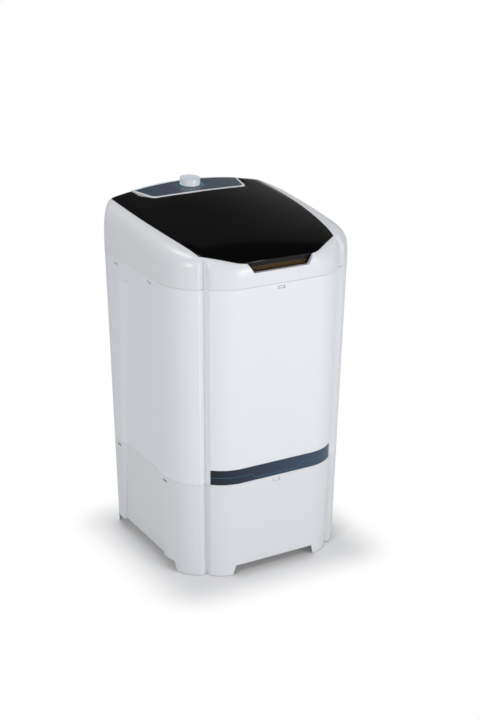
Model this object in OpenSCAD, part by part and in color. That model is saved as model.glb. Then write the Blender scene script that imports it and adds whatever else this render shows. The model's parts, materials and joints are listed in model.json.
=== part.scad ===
// Compact semi-automatic washing machine: a tapered white cabinet in three
// sections, a black lid that hinges at the rear beside a fixed console with a
// timer knob, and inside it a tub with a pulsator, a belt drive and a drain.
// Millimetres, +Z up, front towards -Y, origin on the floor under the centre.

/* [Cabinet] */
// Width of the cabinet outline at floor level
floor_w = 387.2; // [378:0.2:398]
// Depth of the cabinet outline at floor level
floor_d = 371.2; // [366:0.2:380]
// Outward growth of the walls per metre of height, as a share of the outline
flare = 0.111; // [0.09:0.001:0.13]
// Height of the seam between base and body
base_h = 204; // [198:1:215]
// Height of the seam between body and top frame
body_top = 611; // [600:1:620]
// Open line between two cabinet sections
seam_gap = 0.5; // [0.3:0.1:0.8]
// Wall thickness of the moulded cabinet
wall = 2.5; // [2.2:0.1:3]
// Height of the white skirt's lower edge above the floor
skirt_clear = 1.5; // [1:0.5:3]

/* [Cabinet corners] */
// Half width of the flat middle of the front
front_flat = 78.3; // [70:0.1:84]
// Radius of the curve from the front to the corner groove
bulge_r = 83.5; // [80:0.5:88]
// Angle that this curve turns through before the groove
bulge_turn = 43; // [40:1:45]
// Radius of the corner between groove and side
corner_r = 87; // [82:0.5:92]
// Distance of this corner's centre behind the front of the outline
corner_back = 106.1; // [104:0.1:112]
// Angle of the corner between groove and side
corner_turn = 58; // [55:1:60]
// Depth of the vertical groove in each front corner
groove_depth = 10; // [6:0.5:11]
// Radius of the rear corners
rear_r = 55; // [50:0.5:60]

/* [Side recess] */
// Height of the recess's upper ledge
recess_top = 570; // [540:1:585]
// Depth of the recess at its front
recess_depth_front = 5; // [2:0.5:6]
// Depth of the recess at its rear
recess_depth_rear = 7; // [5:0.5:9]
// Distance of the recess's rear edge in front of the rear of the outline, at the floor
recess_end = 68; // [64:1:72]
// How far the rear edge leans forward towards the top
recess_lean_rear = 32.5; // [20:0.5:36]
// Distance of its front edge behind the end of the corner, at the floor
recess_in = 7.5; // [5:0.5:14]
// How far the front edge leans back towards the top
recess_lean = 60.5; // [40:0.5:64]
// Width of the slope at the rear edge, at the ledge
recess_slope_top = 26; // [10:1:28]

/* [Feet] */
// Height of the arches between the feet
arch_h = 22.5; // [18:0.5:26]
// Half width of the front arch at its top
arch_front = 90; // [80:1:94]
// Distance of the side arch's front end behind the front of the outline
arch_foot_front = 78.6; // [74:0.1:86]
// Distance of the side arch's rear end in front of the rear of the outline
arch_foot_rear = 33.6; // [30:0.1:40]
// How far each arch end slopes outwards to the floor
arch_slope = 7; // [4:1:9]
// Diameter of a rubber foot pad
pad_d = 28; // [24:1:30]
// Height of a rubber foot pad
pad_h = 12; // [10:1:16]

/* [Lid and rim] */
// Greatest half width of the lid
lid_half_w = 174.3; // [172:0.1:176]
// Distance from the rim's rear edge to where the lid is widest
lid_wide_back = 89.5; // [80:0.5:100]
// Half width at the lid's front corners
lid_corner_x = 150.4; // [147:0.1:153]
// Depth of the chamfer from the lid's front edge to its corners
lid_chamfer = 43.5; // [40:0.5:48]
// How far the lid's front edge stands out beyond the floor outline
lid_out = 2.9; // [0.4:0.1:3.9]
// How far the rim's rear edge stands out beyond the floor outline
rim_out = 4.9; // [4:0.1:6]
// Half width of the straight part of the lid's front edge
lid_flat_x = 68; // [60:1:74]
// Half width where the front edge becomes the straight chamfer
lid_bend_x = 97; // [90:1:104]
// Height of the lid's side edge above its datum line at the rear
lid_rear_z = 713.2; // [709:0.1:717]
// Rise of the lid's middle over its side edges at the rear
crown_rear = 17; // [14:0.5:19]
// Rise of the lid's middle over its side edges at the front
crown_front = 5; // [3:0.5:7]
// Thickness of the lid's panel
lid_t = 3; // [2.5:0.1:3.5]
// Depth of the lid's skirt
skirt_h = 10; // [8:0.5:11]
// Thickness of the lid's skirt
skirt_t = 2.2; // [1.8:0.1:2.6]
// Running gap between lid and rim
lid_gap = 1; // [0.8:0.1:1.4]
// Height of the lid's surface above the rim
lid_proud = 0.8; // [0.3:0.1:1.2]
// Widest opening angle of the lid
lid_open = 95; // [80:1:96]
// Half width of the finger notch at its floor
notch_half = 61; // [54:1:64]
// How far the notch's ends slope outwards
notch_slope = 14; // [10:1:16]
// Height of the notch's floor
notch_z = 638.5; // [636:0.5:642]

/* [Console] */
// Half width of the console at its front corners
console_front_x = 109.2; // [104:0.2:111]
// Half width of the console at the rear
console_rear_x = 124.7; // [120:0.2:125.5]
// Distance from the rim's rear edge to the console's front corners
console_depth = 65.5; // [62:0.5:70]
// How far the console's front edge bows forwards
console_bow = 14; // [8:0.5:16]
// Open line between console and lid
console_gap = 1.5; // [1.2:0.1:2]
// Width of the white border round the printed panel
border_w = 5; // [3:0.5:6]
// Thickness of the printed panel
overlay_t = 0.8; // [0.5:0.1:1.2]
// Distance from the rim's rear edge to the knob's centre
knob_back = 28.5; // [23:0.5:31]
// Distance of the knob's centre to the left of the middle
knob_left = 4.5; // [0:0.5:8]
// Diameter of the timer knob
knob_d = 42.5; // [40:0.5:48]
// Height of the timer knob
knob_h = 14.5; // [12:0.5:20]
// Turning range of the timer in degrees
knob_turn = 300; // [180:10:330]

/* [Tub] */
// Distance of the tub's axis in front of the middle
tub_y = 38; // [36:0.5:40]
// Room from the tub's inner face at its rim to the front wall's outer face
tub_room = 10.1; // [9.6:0.1:14]
// How far the tub narrows from its rim to its floor
tub_draft = 18; // [14:0.5:22]
// Height of the tub's underside
tub_z = 232; // [231:0.5:236]
// Wall thickness of the tub
tub_wall = 2.5; // [2:0.1:3]
// Distance from the tub's wall at its floor to the pulsator's edge
pulsator_in = 38; // [34.5:0.5:44]
// Number of blades on the pulsator
blade_count = 4; // [3:1:6]
// Distance of the drain's axis from the tub's wall at its floor
drain_in = 26; // [24:0.5:28]
// Direction of the drain, from +X towards +Y
drain_angle = 135; // [130:1:140]

/* [Drive] */
// Height of the chassis plate's underside
chassis_z = 107; // [104:0.5:110]
// Thickness of the chassis plate
chassis_t = 3; // [2.5:0.5:4]
// Distance of the motor's axis in front of the rear of the outline
motor_back = 70.6; // [68:0.1:74]
// Radius of the motor's body
motor_r = 50; // [46:0.5:51]
// Radius of the large pulley
big_pulley_r = 75; // [70:0.5:78]
// Radius of the motor pulley
small_pulley_r = 22; // [18:0.5:25]
// Width of the pulleys
pulley_w = 14; // [12:0.5:16]
// Depth of the pulley grooves
groove_in_pulley = 7; // [6:0.5:8]
// Width of the belt
belt_w = 8; // [6:0.5:8.5]
// Thickness of the belt
belt_t = 5; // [4:0.5:5.5]
// Radius of the drive shaft
shaft_r = 7; // [6:0.25:8]
// Radius of the motor shaft
motor_shaft_r = 5; // [4:0.25:6]
// Radial running clearance of shafts and pins
run_gap = 0.05; // [0.03:0.01:0.08]

/* [Hidden] */
$fn = 64;

// Colours, as the photograph shows them or as such pieces usually are
white = "#e9ebee";
slate = "#46525f";
knob_white = "#ccd6e2";
gloss_black = "#0b0b0d";
smoke_brown = "#4a3c28";
steel = "#a9adb2";
rubber = "#26272a";
grey_plastic = "#8d9298";
blue_plastic = "#7fa6c9";

// Shared small sizes
eps = 0.2;            // overlap of solids that are one moulding
fit_gap = 0.3;        // clearance between fixed neighbours
front_share = [0, 0.4, 0.72, 0.82, 0.91];   // places along the flat of the front
arc_steps = 9;        // facets on each corner curve
groove_steps = 8;     // facets across the corner groove
half_w = floor_w / 2;
half_d = floor_d / 2;

// Places counted from the middle
corner_y = half_d - corner_back;
recess_front = corner_y - recess_in;
recess_rear = half_d - recess_end;
arch_side_front = half_d - arch_foot_front;
arch_side_rear = half_d - arch_foot_rear;
lid_front = half_d + lid_out;
lid_corner_y = lid_front - lid_chamfer;
rim_rear = half_d + rim_out;
lid_wide_y = rim_rear - lid_wide_back;
console_front_y = rim_rear - console_depth;
knob_y = rim_rear - knob_back;
motor_y = half_d - motor_back;

function flare_at(z) = 1 + flare * z / 1000;
function mirror_x(pts) = [for (p = pts) [-p[0], p[1]]];
function reverse(v) = [for (i = [len(v) - 1:-1:0]) v[i]];
function unit(v) = v / norm(v);
function both_halves(h) = concat(h, mirror_x([for (i = [len(h) - 2:-1:1]) h[i]]));
function arc(cx, cy, r, a0, a1, n = arc_steps) =
    [for (i = [0:n]) let (a = a0 + (a1 - a0) * i / n) [cx + r * cos(a), cy + r * sin(a)]];

// One corner groove, from the front curve's end a to the corner curve's start b,
// with its deepest point at v
function groove(a, b, v) =
    [for (j = [1:groove_steps - 1])
        let (s = j / groove_steps, mid = (a + b) / 2)
        a + (b - a) * s + (v - mid) * (1 - cos(360 * s)) / 2];

// Where the recess's front and rear edges lie at a height, and the width of the rear slope
function recess_share(z) = min(z, recess_top) / recess_top;
function recess_edge(z) = -recess_front + recess_lean * pow(recess_share(z), 1.5);
function recess_back(z) = recess_rear - recess_lean_rear * pow(recess_share(z), 1.2);
function recess_slope(z) = 3 + (recess_slope_top - 3) * recess_share(z);
function recess_on(z) = z > recess_top ? 0 : 1;

// How far a slope of this width and depth moves along the wall for an inset
function slope_shift(inset, width, depth) = inset * (norm([width, depth]) - width) / depth;
recess_slope_front = 3;   // width of the slope at the front edge
recess_steps = 3;         // facets along the recess

// Right half of the cabinet's outline at floor scale, from the middle of the
// front to the middle of the rear, drawn in by inset
function half_outline(inset, z) =
    let (lip = inset * 1.3,
         bulge_end = -90 + bulge_turn - lip * 57.3 / bulge_r,
         corner_start = -corner_turn + lip * 57.3 / corner_r,
         front_c = [front_flat, -half_d + bulge_r],
         side_c = [half_w - corner_r, -corner_y],
         front_curve = arc(front_c[0], front_c[1], bulge_r - inset, -90, bulge_end),
         side_curve = arc(side_c[0], side_c[1], corner_r - inset, corner_start, 0),
         lip_a = front_c + bulge_r * [sin(bulge_turn), -cos(bulge_turn)],
         lip_b = side_c + corner_r * [cos(corner_turn), -sin(corner_turn)],
         inward = unit([lip_a[1] - lip_b[1], lip_b[0] - lip_a[0]]),
         valley = (lip_a + lip_b) / 2 + inward * (groove_depth + inset),
         a = front_curve[arc_steps], b = side_curve[0],
         edge = recess_edge(z) - slope_shift(inset, recess_slope_front, recess_depth_front),
         back = recess_back(z) + slope_shift(inset, recess_slope(z), recess_depth_rear),
         on = recess_on(z),
         x0 = half_w - inset, y1 = half_d - inset)
    concat(
        [for (t = front_share) [front_flat * t, -y1]],
        front_curve,
        groove(a, b, valley),
        side_curve,
        [[x0, edge]],
        [for (k = [0:recess_steps]) let (t = k / recess_steps)
            [x0 - on * (recess_depth_front * (1 - t) + recess_depth_rear * t),
             (edge + recess_slope_front) * (1 - t) + (back - recess_slope(z)) * t]],
        [[x0, back]],
        arc(half_w - rear_r, half_d - rear_r, rear_r - inset, 0, 90),
        [for (k = [3:-1:0]) [(half_w - rear_r) * k / 4, y1]]);

// Whole closed outline at a height, counter-clockwise from above
function outline(inset, z) =
    let (k = flare_at(z)) k * both_halves(half_outline(inset / k, z));

function lift(pts, z) = [for (p = pts) [p[0], p[1], z]];

// Closed wall: rings run round the section of the wall, each ring round the cabinet
module ring_solid(rings) {
    m = len(rings);
    n = len(rings[0]);
    pts = [for (r = rings) for (p = r) p];
    faces = [for (k = [0:m - 1]) for (i = [0:n - 1])
        let (k2 = (k + 1) % m, i2 = (i + 1) % n)
        for (f = [[k * n + i, k2 * n + i, k2 * n + i2], [k * n + i, k2 * n + i2, k * n + i2]]) f];
    polyhedron(points = pts, faces = faces);
}

// Wall between two insets over a list of heights
module wall_ring(heights, inset_out, inset_in) {
    ring_solid(concat(
        [for (z = heights) lift(outline(inset_out, z), z)],
        [for (z = reverse(heights)) lift(outline(inset_in, z), z)]));
}

// Straight prism of the cabinet's outline, without the recess, at its bottom's height
module outline_prism(z0, h, inset) {
    plain = recess_top + 1;
    translate([0, 0, z0]) linear_extrude(h)
        polygon(outline(inset * flare_at(plain) / flare_at(z0), plain) * flare_at(z0) / flare_at(plain));
}

module box(lo, hi) {
    translate(lo) cube(hi - lo);
}

module rod(r, z0, z1) {
    translate([0, 0, z0]) cylinder(r = r, h = z1 - z0);
}

module tube(r_out, r_in, z0, z1) {
    difference() {
        rod(r_out, z0, z1);
        rod(r_in, z0 - 1, z1 + 1);
    }
}

// Mirrored pair about the middle plane
module both_sides() {
    children();
    mirror([1, 0, 0]) children();
}

// Cap-head screw pointing down, its head's underside at the origin
module screw(shank_r, shank_l, head_r, head_h) {
    rod(shank_r, -shank_l, eps);
    rod(head_r, 0, head_h);
}

// Heights that the stack of parts shares
frame_z = body_top + seam_gap;
flange_z = body_top - 5;          // underside of the tub's flange
flange_t = 3;
deck_t = 3;
deck_z = body_top + 11;           // underside of the frame's deck
platform_t = 3;
platform_z = 679;                 // underside of the shelf under console and ears
bay_y = console_front_y - 11;     // front of the wall below the console
tub_r_top = half_d * flare_at(flange_z) - tub_y - tub_room;
tub_r_low = tub_r_top - tub_draft;
drain_r = tub_r_low - drain_in;
pulsator_r = tub_r_low - pulsator_in;
rim_in = 2.5;                     // thickness of the rim's inner wall

// Lid's surface: side edge height, crown, and both together
lid_datum_y = rim_rear - 0.5;
lid_drop_y = 88.5 - lid_front;    // in front of it the lid's edge drops faster
function lid_side_z(y) = let (d = lid_datum_y - y) lid_rear_z - 0.06 * d - 0.00018 * d * d
    - 0.00136 * pow(max(0, lid_drop_y - y), 2);
function smooth(t) = let (u = max(0, min(1, t))) u * u * (3 - 2 * u);
function crown(y) = crown_front + (crown_rear - crown_front) * smooth((y + lid_front) / 290);
function top_z(x, y) = lid_side_z(y) + crown(y) * (1 - pow(x / 172, 2));

// Lid's plan: half width at a distance, and front edge at a width
function lid_side_x(y) = lid_half_w - (y < lid_wide_y
    ? (lid_half_w - lid_corner_x) / pow(lid_wide_y + lid_corner_y, 2) : 0.0002)
    * pow(y - lid_wide_y, 2);
chamfer_slope = (lid_front - lid_corner_y) / ((lid_bend_x - lid_flat_x) / 2 + lid_corner_x - lid_bend_x);
function lid_front_y(x) = -lid_front + (x < lid_flat_x ? 0 : x < lid_bend_x
    ? chamfer_slope * pow(x - lid_flat_x, 2) / (2 * (lid_bend_x - lid_flat_x))
    : chamfer_slope * ((lid_bend_x - lid_flat_x) / 2 + x - lid_bend_x));

// Rear edges: the rim bows back in the middle, and the lid's ears follow it
rim_bow = 4.8;
ear_gap = 3.5;
ear_r = 7;
function rim_rear_y(x) = rim_rear + rim_bow * (1 - pow(x / 172, 2));
ear_in = console_rear_x + console_gap;

// Half plan of the console, drawn in by inset, from its front middle round to its
// rear middle, which stands behind the rim's rear edge by back
function console_half(inset, back) =
    let (fx = console_front_x - inset, fy = console_front_y + inset, r = 10,
         rx = console_rear_x - inset, ry = rim_rear_y(console_rear_x) + back - inset,
         side = unit([rx - fx, ry - fy]))
    concat(
        [for (k = [0:6]) let (x = (fx - r) * k / 6)
            [x, fy - console_bow * (1 - pow(x / fx, 2))]],
        [for (t = [0.25, 0.5, 0.75])
            let (p0 = [fx - r, fy - console_bow * (1 - pow((fx - r) / fx, 2))],
                 p1 = [fx, fy], p2 = [fx, fy] + side * r)
            p0 * (1 - t) * (1 - t) + p1 * 2 * t * (1 - t) + p2 * t * t],
        [[fx, fy] + side * r],
        [for (k = [4:-1:0]) [rx * k / 4, rim_rear_y(rx * k / 4) + back - inset]]);
function console_plan(inset, back) = both_halves(console_half(inset, back));

// Lid's closed plan: outer edge, rear edges of the ears, and the cut-out for the console
function lid_half_plan() =
    let (r = ear_r - lid_gap, c = ear_corner(ear_gap, 0, r),
         cut = [for (p = console_half(-console_gap, 1)) if (p[1] < rim_rear - 12) p])
    concat(
        [for (x = [0, lid_flat_x / 2, lid_flat_x]) [x, lid_front_y(x)]],
        [for (k = [1:4]) let (x = lid_flat_x + (lid_bend_x - lid_flat_x) * k / 4) [x, lid_front_y(x)]],
        [[lid_corner_x - 4, lid_front_y(lid_corner_x - 4)]],
        [for (k = [0:14]) let (y = -lid_corner_y + 4 + (c[1] + lid_corner_y - 4) * k / 14)
            [lid_side_x(y), y]],
        [c + r * [cos(45), sin(45)]],
        [for (x = [c[0], (c[0] + ear_in) / 2, ear_in]) [x, rim_rear_y(x) - ear_gap]],
        [[ear_in, hinge_y - 16]],
        reverse(cut));
function lid_plan() = both_halves(lid_half_plan());

// Centre of the rounded rear outer corner with radius r, for an edge that lies back
// in front of the rim's rear edge and out beyond the lid's side
function ear_corner(back, out, r) =
    let (y = rim_rear_y(lid_half_w - r) - back - r) [lid_side_x(y) + out - r, y];

// The rim's edge that belongs to point p of the cabinet's half outline at the
// frame's foot: beside the lid with its gap, on the same corner or side
corner_gap_y = -lid_corner_y - lid_gap;
function rim_side(y) = [lid_side_x(y) + lid_gap, y];
function rim_point(i, h) =
    let (n_front = len(front_share) + arc_steps, n_groove = n_front + groove_steps,
         n_side = n_groove + arc_steps + 3 + recess_steps, n_rear = n_side + arc_steps + 1,
         p = h[i], a = h[n_front], b = h[n_groove], last = h[n_side],
         near = lid_corner_x - 5, t_g = (i - n_front) / groove_steps,
         c = ear_corner(0, lid_gap, ear_r), k = i - n_side - 1)
    i <= n_front ? let (x = p[0] * near / a[0]) [x, lid_front_y(x) - lid_gap]
    : i < n_groove ? (t_g < 0.5
        ? let (x = near + (lid_corner_x + 0.5 - near) * 2 * t_g) [x, lid_front_y(x) - lid_gap]
        : rim_side(corner_gap_y + 1 + (2 * t_g - 1) * 6))
    : i <= n_side ? let (t = (p[1] - b[1]) / (last[1] - b[1]))
        rim_side(corner_gap_y + 7 + t * (rim_rear - 50.5 - corner_gap_y - 7))
    : k <= 4 ? rim_side(rim_rear - 44.5 + (c[1] - rim_rear + 44.5) * k / 4)
    : k == 5 ? c + ear_r * [cos(45), sin(45)]
    : i < n_rear ? let (x = c[0] + (h[n_rear][0] - c[0]) * (k - 6) / (arc_steps - 6)) [x, rim_rear_y(x)]
    : [p[0], rim_rear_y(p[0])];
function rim() =
    let (h = flare_at(frame_z) * half_outline(0, frame_z))
    both_halves([for (i = [0:len(h) - 1]) rim_point(i, h)]);
function normal_at(q, i) =
    let (n = len(q), t = unit(q[(i + 1) % n] - q[(i + n - 1) % n])) [t[1], -t[0]];
function rim_z(p) = top_z(p[0], p[1]) - lid_proud;

// Shoulder profile: a Bezier from the seam up and over to the rim, at depth inside it
function bezier(p, t) = p[0] * pow(1 - t, 3) + 3 * p[1] * t * pow(1 - t, 2)
    + 3 * p[2] * t * t * (1 - t) + p[3] * pow(t, 3);
function shoulder(p, p_up, q, qz, t, depth) =
    let (w = norm(p_up - q), out = unit(p_up - q), h = qz - frame_z,
         ctrl = [[norm(p - q), 0], [w * 1.02, h * 0.76], [w * 0.9, h - w * 0.05], [0, h]],
         at = bezier(ctrl, t), next = bezier(ctrl, min(1, t + 0.01)), prev = bezier(ctrl, max(0, t - 0.01)),
         dir = unit(next - prev), n = [dir[1], -dir[0]],
         c = at - n * depth, xy = q + out * c[0])
    [xy[0], xy[1], frame_z + c[1]];
shoulder_steps = [0, 0.2, 0.38, 0.53, 0.66, 0.78, 0.89, 1];
shoulder_inner = [0.75, 0.5, 0.25, 0];

// Cabinet sections

module clip_window(x, z) {
    box([x - 8, -half_d - 40, z - 3], [x + 8, -half_d + 30, z + 3]);
}

// Tongue that grows from the front wall above a seam and hooks down behind the
// wall of the section below, its snap standing in that section's clip window
module front_tongue(z, y_wall) {
    y_in = y_wall + wall;
    box([-7, y_in - 1, z + 1], [7, y_in + fit_gap + 2, z + 7]);
    box([-7, y_in + fit_gap, z - 12], [7, y_in + fit_gap + 2, z + 2]);
    box([-6.5, y_wall + 0.6, z - 10], [6.5, y_in + fit_gap + 1, z - 6.5]);
}

post_x = 130;
post_front = 67.6 - half_d;
post_rear = half_d - 47.6;
post_r = 19;

module corner_posts() {
    for (sx = [-1, 1], y = [post_front, post_rear]) translate([sx * post_x, y, 0]) children();
}

module arch_cuts() {
    front_y = half_d * 1.2;
    // Front and rear arches
    translate([0, front_y, 0]) rotate([90, 0, 0]) linear_extrude(2 * front_y)
        polygon([[-arch_front - arch_slope, -1], [arch_front + arch_slope, -1],
                 [arch_front, arch_h], [-arch_front, arch_h]]);
    // Side arches
    translate([-half_w * 1.2, 0, 0]) rotate([90, 0, 90]) linear_extrude(2.4 * half_w)
        polygon([[-arch_side_front - arch_slope, -1], [arch_side_rear + arch_slope / 2, -1],
                 [arch_side_rear, arch_h], [-arch_side_front, arch_h]]);
}

cover_half = 105;       // half width of the rear service opening
cover_z0 = 112;
cover_z1 = 188;
outlet_x = -88;         // drain outlet and cord gland in the rear wall
outlet_z = 66;
outlet_r = 13;
gland_x = 88;
gland_z = 66;
gland_r = 11;
gland_bore = 4;

function rear_wall_y(z) = half_d * flare_at(z);

// Ribs that tie each corner post to the two walls beside it
module post_ribs() {
    for (sx = [-1, 1], y = [post_front, post_rear])
        box([min(sx * post_x, sx * 210), y - 2, arch_h + 2], [max(sx * post_x, sx * 210), y + 2, chassis_z - 6]);
    for (sx = [-1, 1]) {
        box([sx * post_x - 2, -210, arch_h + 2], [sx * post_x + 2, post_front, chassis_z - 6]);
        box([sx * post_x - 2, post_rear, arch_h + 2], [sx * post_x + 2, 210, chassis_z - 6]);
    }
}

// Eight-sided hole for the cord gland
module gland_hole() {
    polygon([for (i = [0:7]) (gland_r - 2) / cos(22.5) * [cos(45 * i + 22.5), sin(45 * i + 22.5)]]);
}

module base_shell() color(white) {
    difference() {
        union() {
            difference() {
                wall_ring([skirt_clear, base_h], 0, wall);
                arch_cuts();
            }
            // Corner posts carry the chassis and hold the foot pads
            difference() {
                union() {
                    corner_posts() rod(post_r, skirt_clear + 1, chassis_z);
                    intersection() {
                        post_ribs();
                        outline_prism(arch_h, chassis_z, 0.5);
                    }
                }
                corner_posts() rod(pad_d / 2 + fit_gap, -1, pad_h - 2);
                corner_posts() rod(2.5, chassis_z - 22, chassis_z + 1);
            }
        }
        // Windows for the clips of the body
        clip_window(0, base_h - 8);
        for (sx = [-1, 1], y = [-corner_y - 4.5, half_d - 61.6]) translate([0, y, base_h - 8])
            box([min(sx * 170, sx * 220), -8, -3], [max(sx * 170, sx * 220), 8, 3]);
        // Service opening and outlets in the rear wall
        box([-cover_half + 8, half_d - 20, cover_z0 + 8], [cover_half - 8, half_d + 30, cover_z1 - 8]);
        translate([outlet_x, half_d - 20, outlet_z]) rotate([-90, 0, 0]) cylinder(r = outlet_r + 0.5, h = 60);
        translate([gland_x, half_d - 20, gland_z]) rotate([-90, 0, 0]) linear_extrude(60) gland_hole();
        cover_screw_places() rotate([-90, 0, 0]) rod(1.6, -20, 20);
    }
}

body_levels = [base_h + seam_gap, 300, 400, 470, 520, 550, recess_top, recess_top + 1, body_top];
ledge_w = 10;           // reach of the ledge that carries the tub's flange

module body_shell() color(white) {
    difference() {
        union() {
            wall_ring(body_levels, 0, wall);
            // Ledge under the tub's flange
            difference() {
                outline_prism(flange_z - 6, 6, 1.2);
                outline_prism(flange_z - 7, 8, ledge_w);
                at_tub() rod(tub_r_top + tub_wall + 1, flange_z - 7, flange_z + 1);
            }
        }
        clip_window(0, body_top - 8);
        for (sx = [-1, 1], y = [-46, recess_back(recess_top) + 16]) translate([0, y, body_top - 8])
            box([min(sx * 180, sx * 220), -8, -3], [max(sx * 180, sx * 220), 8, 3]);
        tub_screw_places() rod(2, flange_z - 7, flange_z + 1);
        tongue_slots();
    }
    // Tongues that clip into the base
    front_tongue(base_h + seam_gap, -half_d * flare_at(base_h));
}

// Room in the ledge for the frame's tongues
module tongue_slots() {
    y_in = -half_d * flare_at(body_top) + wall;
    box([-8, y_in, flange_z - 8], [8, y_in + 3.2, body_top + 1]);
}

module top_frame() color(white) {
    difference() {
        union() {
            frame_skin();
            // Deck round the tub's mouth
            difference() {
                union() {
                    difference() {
                        rim_prism(deck_z, deck_t);
                        box([-half_w - 20, bay_y + 1, deck_z - 1], [half_w + 20, rim_rear + 30, deck_z + deck_t + 1]);
                    }
                    translate([0, -tub_y, 0]) tube(tub_r_top - 2, tub_r_top - 4.5, deck_z - 10, deck_z + 1);
                }
                translate([0, -tub_y, 0]) rod(tub_r_top - 4.5, deck_z - 11, deck_z + deck_t + 1);
            }
            // Wall and shelf below the console
            intersection() {
                translate([-200, 0, 0]) rotate([90, 0, 90]) linear_extrude(400) polygon([
                    [bay_y, deck_z + 0.5], [bay_y + 2.5, deck_z + 0.5], [bay_y + 2.5, platform_z],
                    [rim_rear + 30, platform_z], [rim_rear + 30, platform_z + platform_t], [bay_y, platform_z + platform_t]]);
                rim_prism(deck_z - 1, 80);
            }
            // Ledge at the finger notch
            box([-notch_half - notch_slope - 4, -half_d * flare_at(notch_z) + 1.2, notch_z - 8],
                [notch_half + notch_slope + 4, -lid_front - lid_gap - 1, notch_z + 4]);
            lid_rests();
            both_sides() hinge_bracket();
            console_posts() rod(5, platform_z + 1, console_floor_z);
        }
        notch_cut();
        both_sides() translate([hinge_x0 - 5, hinge_y, hinge_z]) rotate([0, 90, 0])
            rod(pin_r + run_gap, 0, 20);
        console_posts() rod(1.6, platform_z - 1, console_floor_z + 1);
        // Room for the console's plate over the rear rim
        difference() {
            box([-ear_in, rim_rear - 40, platform_z + 20], [ear_in, rim_rear + 20, frame_z + 150]);
            under_crown(console_t + fit_gap);
        }
        translate([wire_x, wire_y, 0]) rod(wire_hole, platform_z - 1, platform_z + platform_t + 1);
    }
    front_tongue(frame_z, -half_d * flare_at(body_top));
}

// Shoulder and the wall below the rim in one skin: out over the shoulder, down
// the wall beside the lid, and back under both. Behind, where the rim is close to
// the cabinet's wall, it is one solid wall
module frame_skin() {
    foot = outline(0, frame_z);
    foot_up = outline(0, frame_z + 55);
    q = rim();
    n = len(q);
    z = [for (p = q) rim_z(p)];
    out = [for (i = [0:n - 1]) normal_at(q, i)];
    width = [for (i = [0:n - 1]) norm(foot_up[i] - q[i])];
    thick = [for (w = width) min(rim_in, 0.2 * w)];
    solid = [for (i = [0:n - 1]) q[i][1] > rim_rear - 40 && width[i] < 12];
    at = function(i, d, h) let (c = q[i] + out[i] * d) [c[0], c[1], h];
    low = function(i, share) let (c = q[i] + (foot[i] - q[i]) * share) [c[0], c[1], frame_z];
    under = function(i, t)
        let (p = shoulder(foot[i], foot_up[i], q[i], z[i], t, wall),
             d = ([p[0], p[1]] - q[i]) * out[i], push = max(0, thick[i] + 0.3 - d))
        [p[0] + out[i][0] * push, p[1] + out[i][1] * push, p[2]];
    ring_solid(concat(
        [for (t = shoulder_steps) [for (i = [0:n - 1]) shoulder(foot[i], foot_up[i], q[i], z[i], t, 0)]],
        [[for (i = [0:n - 1]) solid[i] ? low(i, 0) : at(i, 0, deck_z + 1)],
         [for (i = [0:n - 1]) solid[i] ? low(i, 0.15) : at(i, thick[i], deck_z + 1)],
         [for (i = [0:n - 1]) solid[i] ? low(i, 0.3) : at(i, thick[i], z[i] - wall - 0.2)]],
        [for (t = shoulder_inner) [for (i = [0:n - 1]) solid[i] ? low(i, 0.4 + 0.4 * (1 - t)) : under(i, t)]]));
}

// Straight prism that ends inside the rim's wall, to shape decks. Its corners are
// set a little along the rim, so that none of them falls on an edge of the wall
module rim_prism(z0, h) {
    q = rim();
    n = len(q);
    translate([0, 0, z0]) linear_extrude(h)
        polygon([for (i = [0:n - 1]) q[i] + normal_at(q, i) * 0.7 + unit(q[(i + 1) % n] - q[i]) * 0.17]);
}

module notch_cut() {
    top = notch_z + 40;
    slope = notch_slope / 21.5;
    translate([0, -lid_front + 3, 0]) rotate([90, 0, 0]) linear_extrude(40)
        polygon([[-notch_half, notch_z], [notch_half, notch_z],
                 [notch_half + (top - notch_z) * slope, top], [-notch_half - (top - notch_z) * slope, top]]);
}

// Lid hinge: pins in the lid's knuckles turn in brackets on the shelf
hinge_y = rim_rear - 18;
hinge_z = 710.5;
hinge_x0 = 129.5;
bracket_w = 7;
knuckle_w = 8;
knuckle_x = hinge_x0 + bracket_w + 0.6;
knuckle_r = 4.5;
pin_r = 2.5;
module hinge_bracket() {
    box([hinge_x0, hinge_y - knuckle_r, platform_z + 1], [hinge_x0 + bracket_w, hinge_y + pin_r, hinge_z]);
    translate([hinge_x0, hinge_y, hinge_z]) rotate([0, 90, 0]) rod(knuckle_r, 0, bracket_w);
}

// Four small tabs that the closed lid's bumpers rest on
rest_places = [[148, 80.5 - lid_front], [162, 52]];
bumper_h = 9;
function rest_z(p) = top_z(p[0], p[1]) - lid_t - bumper_h - fit_gap - 1.5;
module lid_rests() {
    intersection() {
        both_sides() for (p = rest_places)
            box([p[0] - 7, p[1] - 6, rest_z(p) - 6], [p[0] + 30, p[1] + 6, rest_z(p)]);
        rim_prism(deck_z, 100);
    }
}

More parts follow.
